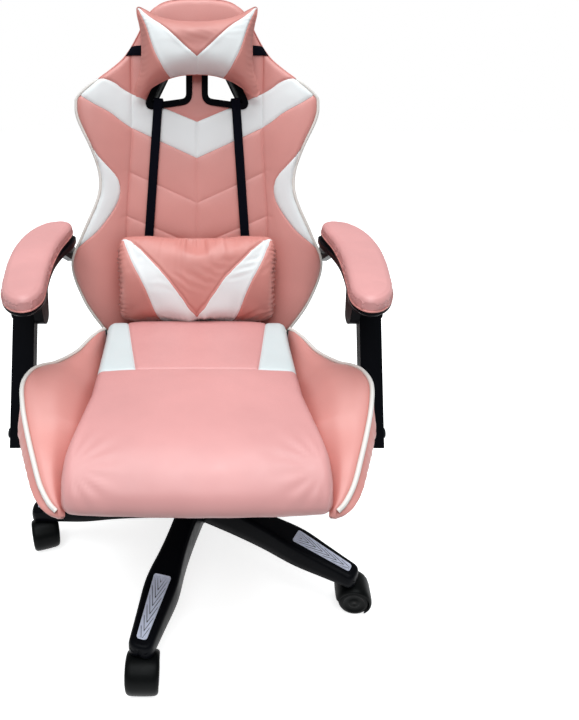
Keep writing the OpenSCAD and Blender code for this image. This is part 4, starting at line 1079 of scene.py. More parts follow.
# A pad is a Coons patch of its outline, rolled over at the edge, with a side seam and a welt below.
def makePads():
    p = padShape
    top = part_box("arm_pad_left")[1][2] / mm
    slope = math.tan(math.radians(p["slope"]))

    # From the pad's outline and a depth below its sloping top to metres.
    def onArm(x, depth, y):
        x, depth, y = (np.asarray(a, float) for a in np.broadcast_arrays(x, depth, y))
        return np.stack([x, y, top - p["inset"] + (y - p["side"]) * slope - depth], -1) * mm

    line = smoothLine(p["outline"], 14)[:-1]
    at = [int(np.argmin(np.linalg.norm(line - c, axis=1))) for c in p["corners"]]

    # The outline from one corner to another, past its start where needed.
    def part(a, b):
        return line[a:b + 1] if a < b else np.vstack([line[a:], line[:b + 1]])

    rear, outer, tip, inner = part(at[0], at[1]), part(at[1], at[2]), part(at[2], at[3]), part(at[3], at[0])
    s, t = spread(30), spread(110, 0.6)
    patch = patchBlock(along(tip[::-1], s), along(rear, s), along(inner, t), along(outer[::-1], t), s, t)
    flat, faces = patch.reshape(-1, 2), gridFaces(*patch.shape[:2])
    gap = nearest(flat, [np.vstack([line, line[:1]])], 1.5)
    front = rollOver(gap, p["roll"]) - 2.2 * (1 - np.exp(-(gap / 22) ** 2))
    front += 0.9 * np.exp(-((gap - 6.5) / 1.1) ** 2)
    front += 0.5 * ripple(flat, [(60, 1.0), (25, 0.5)], 21) * np.clip(gap / 12, 0, 1)
    below = np.full(len(flat), p["thick"] - 0.5)
    seamAt, seamWide, seamDeep = p["seam"]

    # The side bulges as a sine to a power, with a Gaussian groove where its seam runs.
    def side(share):
        bulge = math.sin(math.pi * min(1, share * 1.15)) ** 0.7 * p["bulge"] if share < 0.87 else 0.3
        return bulge - seamDeep * math.exp(-((share - seamAt) / seamWide) ** 2)

    push = np.where(gap < 0.2, 1.0, 0.0)
    verts, faces = thickShell(flat, faces, front, below, 18, push, onArm, side)
    rim = np.vstack([line, line[:1]])[::2][:-1]
    normal = np.stack([np.gradient(rim[:, 1]), -np.gradient(rim[:, 0])], 1)
    normal /= -np.linalg.norm(normal, axis=1)[:, None]
    low, under = rim + normal * 0.3, rim - normal * p["rimInset"]
    welt = sweep(onArm(low[:, 0], p["weltDepth"], low[:, 1]),
                 roundProfile(cordRadius["armPad"] * mm, 8), True)
    flange = sweep(onArm(under[:, 0], p["rimDepth"], under[:, 1]), roundProfile(p["rimRadius"] * mm), True)
    for name, flip in (("Left", False), ("Right", True)):
        key = name.lower()
        turn = mirrored if flip else (lambda v, f: (v, f))
        pad = buildPiece("armPad" + name, *turn(verts, faces), "seatPink", weld=None)
        settle(pad, "arm_" + key, ("arm_pad_" + key,))
        settle(buildPiece("armWelt" + name, *turn(*welt), "pink"), "arm_" + key)
        settle(buildPiece("armRim" + name, *turn(*flange), "plastic"), "arm_" + key)


makePads()
print("arm pads done")


beltShape = {
    "width": 20.0, "thick": 2.0, "top": (86, 522), "splay": 4.7, "front": 22.0, "rear": 95.2, "foot": -56,
    "turn": 7.0, "headWidth": 24.0, "headRows": (611.0, 635.0),
    "buckle": {"at": (300, 318), "half": 13, "over": 2.6},
}


# A closed flat belt with soft edges: a rounded rectangle along a path; its UV map is in metres.
def ribbon(path, across, width, thick):
    ahead = np.roll(path, -1, 0) - np.roll(path, 1, 0)
    ahead /= np.linalg.norm(ahead, axis=1)[:, None]
    across = np.broadcast_to(across, path.shape)
    top = np.cross(across, ahead)
    top /= np.linalg.norm(top, axis=1)[:, None]
    h, w = thick / 2, width / 2
    upper = [(-w, 0), (-w + h * 0.3, h * 0.8), (-w + h, h), (-w / 3, h), (w / 3, h), (w - h, h),
             (w - h * 0.3, h * 0.8)]
    profile = np.array(upper + [(-x, -z) for x, z in upper])
    rings = path[:, None] + across[:, None] * profile[None, :, :1] + top[:, None] * profile[None, :, 1:]
    run = runLengths(path)
    uv = np.stack(np.broadcast_arrays(profile[None, :, 0], run[:, None]), -1)
    return rings.reshape(-1, 3), gridFaces(len(path), len(profile), True, True), uv.reshape(-1, 2)


# Each corner of a closed polygon as a quadratic curve that leaves the sides at the corner's own reach.
def rounded(polygon, radii, count=7):
    here, reach = np.asarray(polygon, float), np.array(radii, float)[:, None]
    toLast, toNext = np.roll(here, 1, 0) - here, np.roll(here, -1, 0) - here
    a = here + toLast * reach / np.linalg.norm(toLast, axis=1)[:, None]
    b = here + toNext * reach / np.linalg.norm(toNext, axis=1)[:, None]
    t = np.linspace(0, 1, count)[None, :, None]
    return ((1 - t) ** 2 * a[:, None] + 2 * t * (1 - t) * here[:, None] + t**2 * b[:, None]).reshape(-1, 2)


# Outward unit normals of a closed flat line that runs counter-clockwise.
def ringNormals(ring):
    ahead = np.roll(ring, -1, 0) - np.roll(ring, 1, 0)
    return np.stack([ahead[:, 1], -ahead[:, 0]], 1) / np.linalg.norm(ahead, axis=1)[:, None]


trimShape = {
    "half": 7.0, "inset": 5.6, "radii": (17, 17, 12, 18), "proud": 3.2, "behind": 1.2,
    "sleeve": (-4.6, -3.0), "ends": (26, 92),
    "section": [(-1, 1.2), (-0.98, -0.6), (-0.8, -1.9), (-0.45, -2.6), (0, -2.8), (0.45, -2.6),
                (0.8, -1.9), (0.98, -0.6), (1, 1.2), (0, 1.6)],
}


# A moulded ring round each belt opening: a D profile carried round the rim's middle line, front and rear,
# and a thin sleeve between them.
def makeTrims():
    b, shape = backShape, trimShape
    parts = []
    profile = np.array(shape["section"]) * (shape["half"], 1)
    loop = rounded(insetPolygon(b["opening"], shape["inset"]), shape["radii"])
    ring = evenly(np.vstack([loop, loop[:1]]), 2.5)[:-1]
    normal = ringNormals(ring)
    for depth, out in ((b["wingRise"] - shape["proud"], -1.0), (b["rearFace"] + shape["behind"], 1.0)):
        xv = ring[:, None] + normal[:, None] * profile[None, :, :1]
        d = depth + out * -profile[None, :, 1] + np.zeros((len(ring), 1))
        rings = backPoint(xv[..., 0], d, xv[..., 1])
        faces = gridFaces(len(ring), len(profile), True, True)
        parts.append((rings.reshape(-1, 3), faces if out < 0 else faces[:, ::-1]))
    sleeve = []
    (thin, thick), (near, far) = shape["sleeve"], shape["ends"]
    for offset, depth in ((thin, near), (thin, far), (thick, far), (thick, near)):
        xv = ring + normal * offset
        sleeve.append(backPoint(xv[:, 0], depth, xv[:, 1]))
    parts.append((np.stack(sleeve, 1).reshape(-1, 3), gridFaces(len(ring), 4, True, True)))
    trims = buildPiece("beltOpeningRings", *bothSides(*joined(parts)), "trim")
    outwards(trims)
    settle(trims, "back", ("belt_slot_trims",))


# Each belt is a closed loop: up the front of the back, through its opening, down the rear and under.
def makeStraps():
    b = beltShape
    (x, v), splay = b["top"], math.radians(b["splay"])
    front, rear, foot, r = b["front"], b["rear"], b["foot"], b["turn"]
    arc, steps = np.linspace(0, np.pi / 2, 7), 12.0 * np.arange(47)
    level = np.linspace(front + r + 6, rear - r - 6, 6)
    rise, fall = foot + r + steps, v - r - steps[1:]
    rise, fall = rise[rise < v - r - 2], fall[fall > foot + r + 2]
    sag = np.sin(np.arange(1, len(fall) + 1) / 3)
    stretches = [
        (np.full(len(rise), front), rise), (front + r - r * np.cos(arc), v - r + r * np.sin(arc)),
        (level, np.full(6, v)),
        (rear - r + r * np.sin(arc), v - r + r * np.cos(arc)), (rear + sag, fall),
        (rear - r + r * np.cos(arc), foot + r - r * np.sin(arc)), (level[::-1], np.full(6, foot)),
        (front + r - r * np.sin(arc[:-1]), foot + r - r * np.cos(arc[:-1]))]
    run = np.vstack([np.stack(stretch, 1) for stretch in stretches])
    out = x + (v - run[:, 1]) * math.tan(splay)
    path = backPoint(out, run[:, 0], run[:, 1])
    across = backPoint(math.cos(splay), 0, math.sin(splay)) - backPoint(0, 0, 0)
    across = across / np.linalg.norm(across)
    verts, faces, uv = ribbon(path, across, b["width"] * mm, b["thick"] * mm)
    belts = buildPiece("lumbarBelts", *bothSides(verts, faces), "webbing", uv=np.vstack([uv, uv]),
                       weld=None)
    settle(belts, "back", ("lumbar_straps",))
    print("each lumbar belt's loop, metres:", round(lineLength(np.vstack([path, path[:1]])), 3))
    # slide buckles on the rear run: two bars across the belt and two along it
    (low, high), half, over = b["buckle"]["at"], b["buckle"]["half"], rear + b["buckle"]["over"]
    middle = x + (v - 0.5 * (low + high)) * math.tan(splay)
    parts = []
    for at in (low, high):
        place = backPoint(x + (v - at) * math.tan(splay) + np.array([-1, 1]) * (half + 1), over, at)
        parts.append(sweep(place, roundProfile(1.8 * mm, 8), up=(0, 1, 0)))
    for side in (-half, half):
        place = backPoint(middle + side, over, np.array([low - 1, high + 1]))
        parts.append(sweep(place, roundProfile(2.0 * mm, 8), up=(0, 1, 0)))
    buckles = buildPiece("beltBuckles", *bothSides(*joined(parts)), "plastic")
    settle(buckles, "back")


# An elastic belt drawn round the head part: it lies on the face, turns over each slanting edge and
# crosses the rear. Its upper and lower edges are two loops whose half widths come from the outline.
def makeHeadBelt():
    b = backShape
    outline = cuts["outline"]
    low = int(np.argmax(outline[:, 1] > 560))
    t = np.linspace(0, 1, 10)[1:-1]
    rails = []
    for v in beltShape["headRows"]:
        edge = float(np.interp(v, outline[low:, 1], outline[low:, 0]))
        x = edge * np.sin(np.linspace(0, np.pi / 2, 40))
        face, gap = backFront(np.stack([x, np.full(40, v)], 1), cuts, [cuts["seam"]], [noStitch])
        face = np.maximum(np.minimum(face - 1.5, 60), 12)
        rear = b["rearFace"] - rollOver(gap, b["rearRoll"]) + 1.6
        wallX = edge + 1.4 + b["wallBulge"] * np.sin(np.pi * t) * 0.9
        wallW = face[-1] * (1 - t) + rear[-1] * t
        half = np.vstack([np.stack([x, face], 1), np.stack([wallX, wallW], 1),
                          np.stack([x, rear], 1)[::-1]])
        other = (half * (-1, 1))[::-1][1:-1]
        loop = np.vstack([half, other])
        rails.append(backPoint(loop[:, 0], loop[:, 1], v))
    path = 0.5 * (rails[0] + rails[1])
    for _ in range(2):
        path = 0.25 * np.roll(path, 1, 0) + 0.5 * path + 0.25 * np.roll(path, -1, 0)
    across = rails[1] - rails[0]
    across /= np.linalg.norm(across, axis=1)[:, None]
    verts, faces, uv = ribbon(path, across, beltShape["headWidth"] * mm, beltShape["thick"] * mm)
    belt = buildPiece("headBelt", verts, faces, "webbing", uv=uv, weld=None)
    settle(belt, "head", ("head_strap",))
    print("head belt's loop, metres:", round(lineLength(np.vstack([path, path[:1]])), 3))


makeTrims()
makeStraps()
makeHeadBelt()
print("belts done")


# Pillows are cut flat, sewn round one edge and filled by a cloth simulation. Shares run from 0 at the middle
# to 1 at the end, and from 0 at the bottom to 1 at the top; outer and inner are the two edges of the white V.
pillowShapes = {
    "lumbar": {
        "node": "lumbar_pillow", "spare": (1.02, 1.06), "half": 176.0, "low": 20.0, "high": 215.5,
        "rear": 22.9, "deep": (62.0, 24.5),
        "cut": {"ends": 10.0, "top": -14.0, "bottom": -10.0}, "vertex": 0.20,
        "outer": [(0.43, 0.0), (0.54, 0.42), (0.73, 0.735), (0.885, 0.935), (0.955, 0.978)],
        "inner": [(0.0, 0.24), (0.345, 0.62), (0.68, 0.868), (0.86, 0.962), (0.94, 0.988)],
        "top": [(0, 211), (60, 211.5), (105, 215.5), (144, 214.5), (164, 212), (174, 203)],
        "side": [(174, 203), (177, 180), (176.5, 120), (177, 64), (176, 38), (170, 26)],
        "bottom": [(0, 20), (80, 20), (144, 20.5), (170, 26)], "pucker": 3.0, "wrinkle": 0.8, "calm": 5,
    },
    "head": {
        "node": "head_pillow", "spare": (1.02, 1.06), "half": 126.0, "low": 526.5, "high": 701.0,
        "rear": 19.4, "deep": (46.0, 21.5),
        "cut": {"ends": 12.0, "top": 18.0, "bottom": 30.0}, "vertex": 0.29,
        "outer": [(0.38, 0.0), (0.64, 0.42), (0.815, 0.735), (0.94, 0.938), (0.978, 0.978)],
        "inner": [(0.0, 0.29), (0.46, 0.70), (0.70, 0.866), (0.90, 0.964), (0.96, 0.987)],
        "top": [(0, 672), (45, 674), (85, 684), (112, 697), (124, 702), (129, 700)],
        "side": [(129, 700), (128, 686), (123, 664), (120, 640), (119.5, 612), (122.5, 575), (133, 545),
                 (138, 527)],
        "bottom": [(0, 565), (35, 563), (70, 553), (98, 538), (116, 523), (130, 519), (138, 527)],
        "pucker": 0.5, "wrinkle": 0.22, "calm": 24,
    },
}


filling = {"mass": 0.3, "stretch": 30, "shear": 8, "bend": 0.6, "pressure": 4.0, "frames": 20}


# Two flat sheets that share their outline, blown up by cloth pressure; returns the front and rear grids.
# cut is how far each edge is cut in at its middle; a short formula stands in while looks are tried.
def inflate(half, tall, cut, rows, cols):
    u, t = np.meshgrid(np.linspace(-1, 1, cols), np.linspace(0, 1, rows))
    inEnds = cut["ends"] * 4 * t * (1 - t)
    x = u * (half - inEnds)
    v = (t - 0.5) * tall + (1 - u * u) * ((1 - t) * cut["bottom"] - t * cut["top"])
    dome = (1 - u**2) * (1 - (2 * t - 1) ** 2)
    start = 1.5 * np.minimum(1, dome * 6)
    front = np.stack([x, -start, v], -1)
    rear = np.stack([x, start, v], -1)
    number = np.arange(rows * cols).reshape(rows, cols)
    inner = number.copy()
    inner[1:-1, 1:-1] = rows * cols + np.arange((rows - 2) * (cols - 2)).reshape(rows - 2, cols - 2)
    quads = gridFaces(rows, cols)
    faces = np.vstack([quads, inner.ravel()[quads][:, ::-1]])
    verts = np.vstack([front.reshape(-1, 3), rear[1:-1, 1:-1].reshape(-1, 3)]) * mm
    sheet = buildPiece("pillowCut", verts, faces, "pink", weld=None)
    cloth = sheet.modifiers.new("filling", "CLOTH")
    s = cloth.settings
    s.quality, s.mass = 6, filling["mass"]
    s.tension_stiffness = s.compression_stiffness = filling["stretch"]
    s.shear_stiffness, s.bending_stiffness = filling["shear"], filling["bend"]
    s.use_pressure, s.uniform_pressure_force = True, filling["pressure"]
    s.effector_weights.gravity = 0
    cloth.point_cache.frame_start, cloth.point_cache.frame_end = 1, filling["frames"]
    for frameNumber in range(1, filling["frames"] + 1):
        scene.frame_set(frameNumber)
    done = sheet.evaluated_get(bpy.context.evaluated_depsgraph_get()).to_mesh()
    out = np.empty(len(done.vertices) * 3, np.float32)
    done.vertices.foreach_get("co", out)
    out = out.reshape(-1, 3).astype(float) / mm
    mesh = sheet.data
    bpy.data.objects.remove(sheet, do_unlink=True)
    bpy.data.meshes.remove(mesh)
    scene.frame_set(1)
    return out[:rows * cols].reshape(rows, cols, 3), out[inner.ravel()].reshape(rows, cols, 3)


# Bicubic Catmull-Rom look-up of a grid at shares across and up.
def sampled(grid, u, t):
    rows, cols = grid.shape[:2]
    a, b = np.clip(t, 0, 1) * (rows - 1), (np.clip(u, -1, 1) + 1) / 2 * (cols - 1)
    i, j = np.minimum(a.astype(int), rows - 2), np.minimum(b.astype(int), cols - 2)

    # The four Catmull-Rom weights at a share of a cell.
    def weights(f):
        return [0.5 * (-f + 2 * f**2 - f**3), 0.5 * (2 - 5 * f**2 + 3 * f**3),
                0.5 * (f + 4 * f**2 - 3 * f**3), 0.5 * (f**3 - f**2)]

    total = 0
    for k, up in enumerate(weights(a - i)):
        for m, over in enumerate(weights(b - j)):
            total = total + ((up * over)[:, None]
                             * grid[np.clip(i + k - 1, 0, rows - 1), np.clip(j + m - 1, 0, cols - 1)])
    return total


# Moves the seam onto its outline and carries the move inwards as a Coons patch of the edge moves.
def fitOutline(front, rear, p):
    rows, cols = front.shape[:2]
    u, t = np.linspace(-1, 1, cols), np.linspace(0, 1, rows)
    mid = 0.5 * (p["low"] + p["high"])
    top, side, bottom = (smoothLine(p[k], 8) for k in ("top", "side", "bottom"))
    aim = {}
    for key, line in (("top", top), ("bottom", bottom)):
        half = along(line, np.abs(u)) - (0, mid)
        aim[key] = half * np.stack([np.sign(u), np.ones(cols)], 1)
    right = along(side[::-1], t) - (0, mid)
    aim["right"], aim["left"] = right, right * (-1, 1)
    now = front[:, :, [0, 2]]
    move = patchBlock(aim["bottom"] - now[0], aim["top"] - now[-1], aim["left"] - now[:, 0],
                      aim["right"] - now[:, -1], (u + 1) / 2, t).transpose(1, 0, 2)
    out = []
    for grid, deep in ((front, -p["deep"][0]), (rear, p["deep"][1])):
        bulge = np.abs(grid[:, :, 1])
        fit = grid.copy()
        fit[:, :, [0, 2]] += move
        fit[:, :, 1] = deep * bulge / bulge.max()
        out.append(fit)
    return out


# Mean of the face normals round each corner, from the cross product of a face's diagonals.
def cornerNormals(verts, faces):
    n = np.cross(verts[faces[:, 2]] - verts[faces[:, 0]], verts[faces[:, 3]] - verts[faces[:, 1]])
    total = np.zeros_like(verts)
    for k in range(4):
        np.add.at(total, faces[:, k], n)
    return total / (np.linalg.norm(total, axis=1)[:, None] + 1e-12)


# A filled pillow: simulated, calmed, fitted to its outline and re-cut along its V seams, then given
# seams, gathers along the sewn edge and creases as a lift along the surface normal.
def makePillow(name, body, p):
    tall = p["high"] - p["low"]
    flatTall = tall * p["spare"][1]
    front, rear = inflate(p["half"] * p["spare"][0], flatTall, p["cut"], int(flatTall / 5) + 1,
                          int(p["half"] * 2 / 5) + 1)
    for grid in (front, rear):
        for _ in range(p["calm"]):
            around = grid[:-2, 1:-1] + grid[2:, 1:-1] + grid[1:-1, :-2] + grid[1:-1, 2:]
            grid[1:-1, 1:-1] = 0.5 * grid[1:-1, 1:-1] + 0.125 * around
    front, rear = fitOutline(front, rear, p)
    outer, inner = smoothLine(p["outer"] + [(1, 1)], 16), smoothLine(p["inner"] + [(1, 1)], 16)
    s, t, sideways, up = spread(76), spread(76), spread(34), spread(46)
    foot = outer[0, 0]
    corner = np.ones((2, 2))

    # Points of a straight edge at the given shares.
    def straight(a, b, shares):
        return along([a, b], shares)

    blocks = [
        (patchBlock(along(inner, s), straight((0, 1), (1, 1), s), straight((0, p["vertex"]), (0, 1), up),
                    along(corner, up), s, up), 0),
        (patchBlock(straight((0, 0), (foot, 0), s), along(inner, s), straight((0, 0), (0, p["vertex"]), t),
                    along(outer, t), s, t), 1),
        (patchBlock(straight((foot, 0), (1, 0), sideways), along(corner, sideways), along(outer, t),
                    straight((1, 0), (1, 1), t), sideways, t), 0)]
    scale = np.array([p["half"], tall])
    flat, faces, tags = weldBlocks([(b * scale, tag) for b, tag in blocks])
    share = flat / scale
    a, b = openEdges(faces)
    edge = np.zeros(len(flat), bool)
    edge[a] = True
    both = [sampled(grid, share[:, 0], share[:, 1]) for grid in (front, rear)]
    both[1][edge] = both[0][edge]
    inward = cornerNormals(both[0], faces)
    inward *= np.sign(-inward[:, 1].mean())
    sides = [np.abs(inner * scale), np.abs(outer * scale), np.array([(0, 0), (0, p["vertex"])]) * scale]
    seam = nearest(np.abs(flat), sides, 1.6)
    gapSide = (1 - np.abs(share[:, 0])) * p["half"]
    gapEnd = np.minimum(share[:, 1], 1 - share[:, 1]) * tall
    gap = np.minimum(gapSide, gapEnd)
    lift = -1.2 * np.exp(-(seam / 2.0) ** 2) + 0.4 * np.exp(-((seam - 5) / 4) ** 2)
    taut = 1 - np.exp(-(seam / 9) ** 2)
    run = np.where(gapSide < gapEnd, flat[:, 1], flat[:, 0])
    gathers = (np.sin(run * 2 * np.pi / 10.5 + 1.8 * np.sin(run / 23))
               + 0.6 * np.sin(run * 2 * np.pi / 6.7 + 1))
    strength = np.where(gapSide < gapEnd, p["pucker"], 0.15 * p["pucker"])
    lift += strength * gathers * np.exp(-((gap - 10) / 19) ** 2) * np.clip(gap / 4, 0, 1)
    creaseRun = (share[:, 1] * tall / 17 + 1.5 * np.sin(flat[:, 0] / 48)
                 + 0.6 * ripple(flat, [(70, 1.0)], 31))
    crease = np.sin(creaseRun * 2 * np.pi) * np.clip(ripple(flat, [(110, 1.6), (60, 0.8)], 33), 0, 1)
    crease = crease + 1.2 * ripple(flat, [(120, 0.9), (45, 0.45)], 35)
    lift += p["wrinkle"] * taut * crease * np.clip(gap / 18, 0, 1)
    lift *= np.clip(gap / 2.5, 0, 1) * np.clip(np.hypot(gapSide, gapEnd) / 45, 0, 1) * ~edge
    both[0] = both[0] + inward * lift[:, None]
    n = len(flat)
    order = np.where(edge, np.arange(n), -1)
    order[~edge] = n + np.arange((~edge).sum())
    verts = np.vstack([both[0], both[1][~edge]])
    seat = p["rear"] - p["deep"][1]
    verts = backPoint(verts[:, 0], verts[:, 1] + seat, verts[:, 2] + 0.5 * (p["low"] + p["high"]))
    faces = np.vstack([faces, order[faces][:, ::-1]])
    tags = np.concatenate([tags, np.zeros(len(tags), int)])
    piece = buildPiece(name, verts, faces, "pillowPink", weld=None, extra=["white"], material=tags)
    settle(piece, body, (p["node"],))
    rim = smoothLine(p["bottom"], 10)
    ring = np.vstack([rim, smoothLine(p["side"], 10)[::-1][1:], smoothLine(p["top"], 10)[::-1][1:]])
    ring = np.vstack([ring, (ring[::-1] * (-1, 1))[1:-1]])
    welt = evenly(np.vstack([ring, ring[:1]]), 3.0)[:-1]
    cord = sweep(backPoint(welt[:, 0], seat, welt[:, 1]), roundProfile(cordRadius["pillow"] * mm, 8), True,
                 (0, -1, 0.2))
    settle(buildPiece(name + "Seam", *cord, "pillowPink"), body)


makePillow("lumbarPillow", "lumbar", pillowShapes["lumbar"])
makePillow("headPillow", "head", pillowShapes["head"])
print("pillows done")


# The base's tables give a leg's half width, top and bottom at distances from the centre.
baseShape = {
    "turn": -105.3, "reach": 372.0, "stem": 350.0,
    "half": ([20, 60, 105, 150, 190, 222, 245, 268, 300, 340, 372],
             [27, 25.5, 24.6, 25, 27, 30.2, 31.8, 31.2, 28, 24.2, 21.5]),
    "top": ([20, 90, 150, 195, 225, 245, 262, 300, 340, 372],
            [129, 127, 124, 120.8, 118.2, 115.6, 112.8, 105.6, 98.0, 91.9]),
    "bottom": ([20, 120, 230, 300, 372], [66, 68, 70, 68.5, 67.2]), "round": 8.5, "tip": 13.0, "lip": 6.0,
    "channel": (62, 328), "wall": 7.0,
    "hub": [(26.0, 61), (40.5, 61), (42, 62.5), (42.6, 90), (42.6, 122), (41.5, 126.5), (38.5, 129.2),
            (34, 130), (28, 130), (26, 128)],
}


# Look-up on a smooth curve through a table.
def smoothNear(value, table):
    line = smoothLine(np.stack(table, 1), 12)
    return np.interp(value, line[:, 0], line[:, 1])


# One leg's mesh, lying along x in millimetres, turned about the centre to all five places.
def fiveLegs(verts, faces):
    parts = []
    for leg in range(5):
        a = math.radians(baseShape["turn"] + 72 * leg)
        spin = np.array([[math.cos(a), math.sin(a), 0], [-math.sin(a), math.cos(a), 0], [0, 0, 1]])
        parts.append((verts @ spin * mm, faces))
    return parts


# A leg is a loft of a round-shouldered channel whose width and height follow smooth curves to the tip.
def makeBase():
    b = baseShape
    u = np.concatenate([np.linspace(22, 356, 80),
                        b["reach"] - 16 * (1 - np.sin(np.linspace(0, np.pi / 2, 14)))[1:]])
    left = b["reach"] - u
    bite = np.clip(b["tip"] - left, 0, b["tip"])
    half = smoothNear(u, b["half"]) - b["tip"] + np.sqrt(b["tip"] ** 2 - bite**2)
    drop = np.clip(b["lip"] - left, 0, b["lip"])
    top = smoothNear(u, b["top"]) - b["lip"] + np.sqrt(b["lip"] ** 2 - drop**2)
    low = smoothNear(u, b["bottom"]) + 0.4 * drop
    ceiling = np.where((u > b["channel"][0]) & (u < b["channel"][1]), top - b["wall"], low + 2.5)
    r = np.minimum(b["round"], half * 0.7)
    turn = np.linspace(0, np.pi / 2, 8)
    side = [(half - 1.2, low), (half - 0.1, low + 1.2), (half, low + 0.35 * (top - low)),
            (half - 0.2, low + 0.62 * (top - low))]
    side += [(half - 0.6 - r * (1 - math.cos(a)), top - r + r * math.sin(a)) for a in turn]
    side += [((half - r) * k, top + 0.25 * (1 - k * k)) for k in (0.8, 0.55, 0.28)]
    inside = [(np.full_like(half, 0.001), ceiling), (half - 9.5, ceiling), (half - 6.5, ceiling - 3),
              (half - 5.4, low + 1.5), (half - 5.0, low)]
    right = [np.stack(np.broadcast_arrays(c, z), -1) for c, z in side]
    under = [np.stack(np.broadcast_arrays(c, z), -1) for c, z in inside]
    flip = np.array([-1.0, 1.0])
    section = right + [p * flip for p in right[::-1]] + [p * flip for p in under[::-1]] + under
    section = np.stack(section, 1)
    rings = np.concatenate([np.broadcast_to(u[:, None, None], section.shape[:2] + (1,)), section], -1)
    n, m = rings.shape[:2]
    faces = np.vstack([gridFaces(n, m, False, True), endFans(n, m)])
    verts = np.vstack([rings.reshape(-1, 3), rings[0].mean(0), rings[-1].mean(0)])
    parts = fiveLegs(verts, faces)
    parts.append(turned(np.array(b["hub"]) * mm, (0, 0, 0), (0, 0, 1), (1, 0, 0)))
    base = buildPiece("starBase", *joined(parts), "plastic")
    outwards(base)
    settle(base, "base", ("star_base",))


# Profiles of (radius, offset) pairs: the fender is its outer and inner rail, each also mirrored in offset.
casterShape = {
    "wheel": [(5.0, 7.4), (24, 7.4), (27.4, 8.0), (29.3, 9.4), (30, 11.5), (30, 19), (29.5, 21.8),
              (28, 24.3), (25.4, 26.1), (22.5, 26.9), (20.5, 26.8), (19.6, 25.9), (18.8, 25.0),
              (11.5, 24.8), (10.5, 25.4), (9.6, 26.3), (7, 26.8), (0.02, 26.9), (0.02, 20), (5.0, 20)],
    "outer": [(34.6, 6), (34.4, 16), (33.7, 21.5), (32.4, 24.6), (30.6, 26.3), (28.6, 26.9)],
    "inner": [(28.0, 25.9), (29.2, 24.9), (30.5, 23.2), (31.4, 20.4), (31.8, 15), (31.9, 6)],
    "web": [(6, -6), (31.95, -6), (31.95, 6), (6, 6)],
    "axle": [(0.02, -6), (23.5, -6), (24, -5.5), (24, 5.5), (23.5, 6), (0.02, 6)],
    "boss": [(5.8, 54), (9.5, 54), (9.5, 64.6), (8.6, 65.8), (5.8, 65.8), (5.8, 60)],
    "height": 30.0, "span": (-46, 178, 57), "swell": 0.09,
}


# A fender of two rails turned over the top of the wheels, a web between them, a boss round the stem and
# two round-shouldered wheels, all from the wheels' own joint places and axes.
def makeCasters():
    c = casterShape
    wheelProfile, web, axle, boss = (np.array(c[key]) * mm for key in ("wheel", "web", "axle", "boss"))
    half = np.array(c["outer"] + c["inner"]) * mm
    fender = np.vstack([half[:6][::-1] * (1, -1), half, half[6:][::-1] * (1, -1)])
    span = -np.radians(np.linspace(*c["span"]))
    swell = c["swell"] * np.sin(np.linspace(0, np.pi, len(span))).repeat(len(fender))
    for number in range(1, 6):
        name = f"caster_{number}"
        left, right = joints[name + "_left_roll"], joints[name + "_right_roll"]
        centre = np.array(left["pos_m"]) * (1, 1, 0) + (0, 0, c["height"] * mm)
        leg = math.radians(baseShape["turn"] + 72 * (number - 1))
        stem = np.array([math.cos(leg), math.sin(leg), 0]) * baseShape["stem"] * mm
        trail = (centre - stem) * (1, 1, 0)
        trail /= np.linalg.norm(trail)
        axis = np.cross((0, 0, 1), trail)
        full = [turned(fender, centre, axis, trail, span), turned(web, centre, axis, trail, span),
                turned(axle, centre, axis, trail), turned(boss, stem * (1, 1, 0), (0, 0, 1), trail)]
        shell = full[0][0]
        shell += axis * ((shell - centre) @ axis * swell)[:, None]
        hood = buildPiece(f"casterHood{number}", *joined(full), "caster")
        outwards(hood)
        settle(hood, name, (name + "_hood",))
        for side, joint in (("Left", left), ("Right", right)):
            child = joint["child"]
            node = f"{name}_wheel_{side.lower()}"
            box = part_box(node)
            middle = 0.5 * (np.array(box[0]) + np.array(box[1]))
            out = axis if np.dot(middle - centre, axis) > 0 else -axis
            wheel = buildPiece(f"wheel{side}{number}", *turned(wheelProfile, centre, out, trail), "caster")
            outwards(wheel)
            settle(wheel, child, (node,))


makeBase()
makeCasters()
print("base and casters done")


# The inlays run along the legs' slope, from a start and height near the centre to an end and lower height.
inlayShape = {
    "start": 241.0, "high": 116.8, "end": 374.0, "low": 91.6, "wide": 17.0, "slim": 9.3, "corner": 5.0,
    "rim": 2.2, "pitch": 15.0, "slope": 2.9, "raised": 1.9, "field": 0.8, "groove": 1.3, "skirt": -1.2,
}


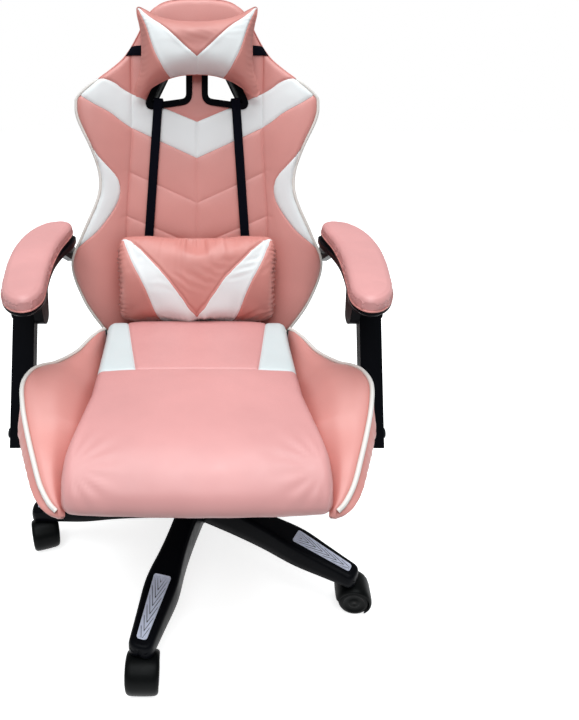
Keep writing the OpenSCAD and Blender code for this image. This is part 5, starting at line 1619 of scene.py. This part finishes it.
# A plate with rounded ends on each leg: a raised rim round a field of nested chevrons that point
# outwards. The groove depth is a Gaussian of the distance to the nearest chevron line.
def makeInlays():
    p = inlayShape
    slope = math.atan2(p["high"] - p["low"], p["end"] - p["start"])
    length = (p["end"] - p["start"]) / math.cos(slope) - 16
    rows, cols = 132, 40
    u, c = np.meshgrid(spread(rows, 0.15) * length, spread(cols, 0.35) * 2 - 1, indexing="ij")
    half = p["wide"] + (p["slim"] - p["wide"]) * u / length
    away = np.clip(p["corner"] - np.minimum(u, length - u), 0, p["corner"])
    half = half - p["corner"] + np.sqrt(np.maximum(p["corner"] ** 2 - away**2, 0))
    across = c * half
    gap = np.minimum(np.minimum(u, length - u), half - np.abs(across))
    phase = (u + p["slope"] * np.abs(across)) / p["pitch"]
    line = np.abs(phase - np.round(phase)) * p["pitch"] / math.hypot(1, p["slope"])
    inField = np.clip((gap - p["rim"]) / 0.8, 0, 1)
    height = p["raised"] - p["field"] * inField - p["groove"] * np.exp(-(line / 0.9) ** 2) * inField
    height -= 0.9 * (1 - np.clip(gap / 0.8, 0, 1)) ** 2
    top = np.stack([u, across, height], -1)
    skirt = top.copy()
    skirt[..., 2] = p["skirt"]
    verts = np.vstack([top.reshape(-1, 3), skirt.reshape(-1, 3)])
    faces = gridFaces(rows, cols)
    n = rows * cols
    a, b = openEdges(faces)
    faces = np.vstack([faces, faces[:, ::-1] + n, np.stack([b, a, a + n, b + n], 1)])
    tilt = np.array([[math.cos(slope), 0, -math.sin(slope)], [0, 1, 0],
                     [math.sin(slope), 0, math.cos(slope)]])
    legs = fiveLegs(verts @ tilt + (p["start"], 0, p["high"]), faces)
    plates = buildPiece("legInlays", *joined(legs), "inlay", weld=None)
    outwards(plates)
    settle(plates, "base", ("leg_inlays",))


makeInlays()
print("inlays done")


# Moulded and steel parts keep their CAD mesh, with softened edges (width in millimetres, angle in degrees).
edgeSizes = {
    "arm_post": (2.0, 40), "arm_tray": (2.0, 40), "hinge_covers": (2.0, 40), "cover_": (1.0, 45),
    "mechanism_housing": (1.5, 40), "tension_knob": (1.5, 50),
}
finishOf = {
    "black_plastic": "plastic", "caster_plastic": "caster", "black_steel": "steel", "zinc_steel": "zinc",
    "plywood": "plywood", "inlay": "inlay", "webbing": "webbing", "pink_leatherette": "pink",
    "white_leatherette": "white", "white_piping": "piping",
}


# Merged, flat faces joined, then bevelled where the surface turns by more than the angle.
def softenEdges(made, width, angle):
    weld = made.modifiers.new("merge", "WELD")
    weld.merge_threshold = 1e-5
    flatten = made.modifiers.new("flatten", "DECIMATE")
    flatten.decimate_type, flatten.angle_limit = "DISSOLVE", math.radians(1.0)
    edge = made.modifiers.new("soften", "BEVEL")
    edge.width, edge.segments, edge.limit_method = width * mm, 3, "ANGLE"
    edge.angle_limit = math.radians(angle)
    shade = made.modifiers.new("shade", "WEIGHTED_NORMAL")
    shade.keep_sharp = False


slotByNode = {part["node"]: part["material_slot"] for part in record["subparts"]}
for node, made in nodes.items():
    if made.hide_render:
        continue
    made.data.materials.clear()
    made.data.materials.append(paint[finishOf[slotByNode[node]]])
    for key, size in edgeSizes.items():
        if key in node:
            softenEdges(made, *size)
            break
print("CAD parts finished")
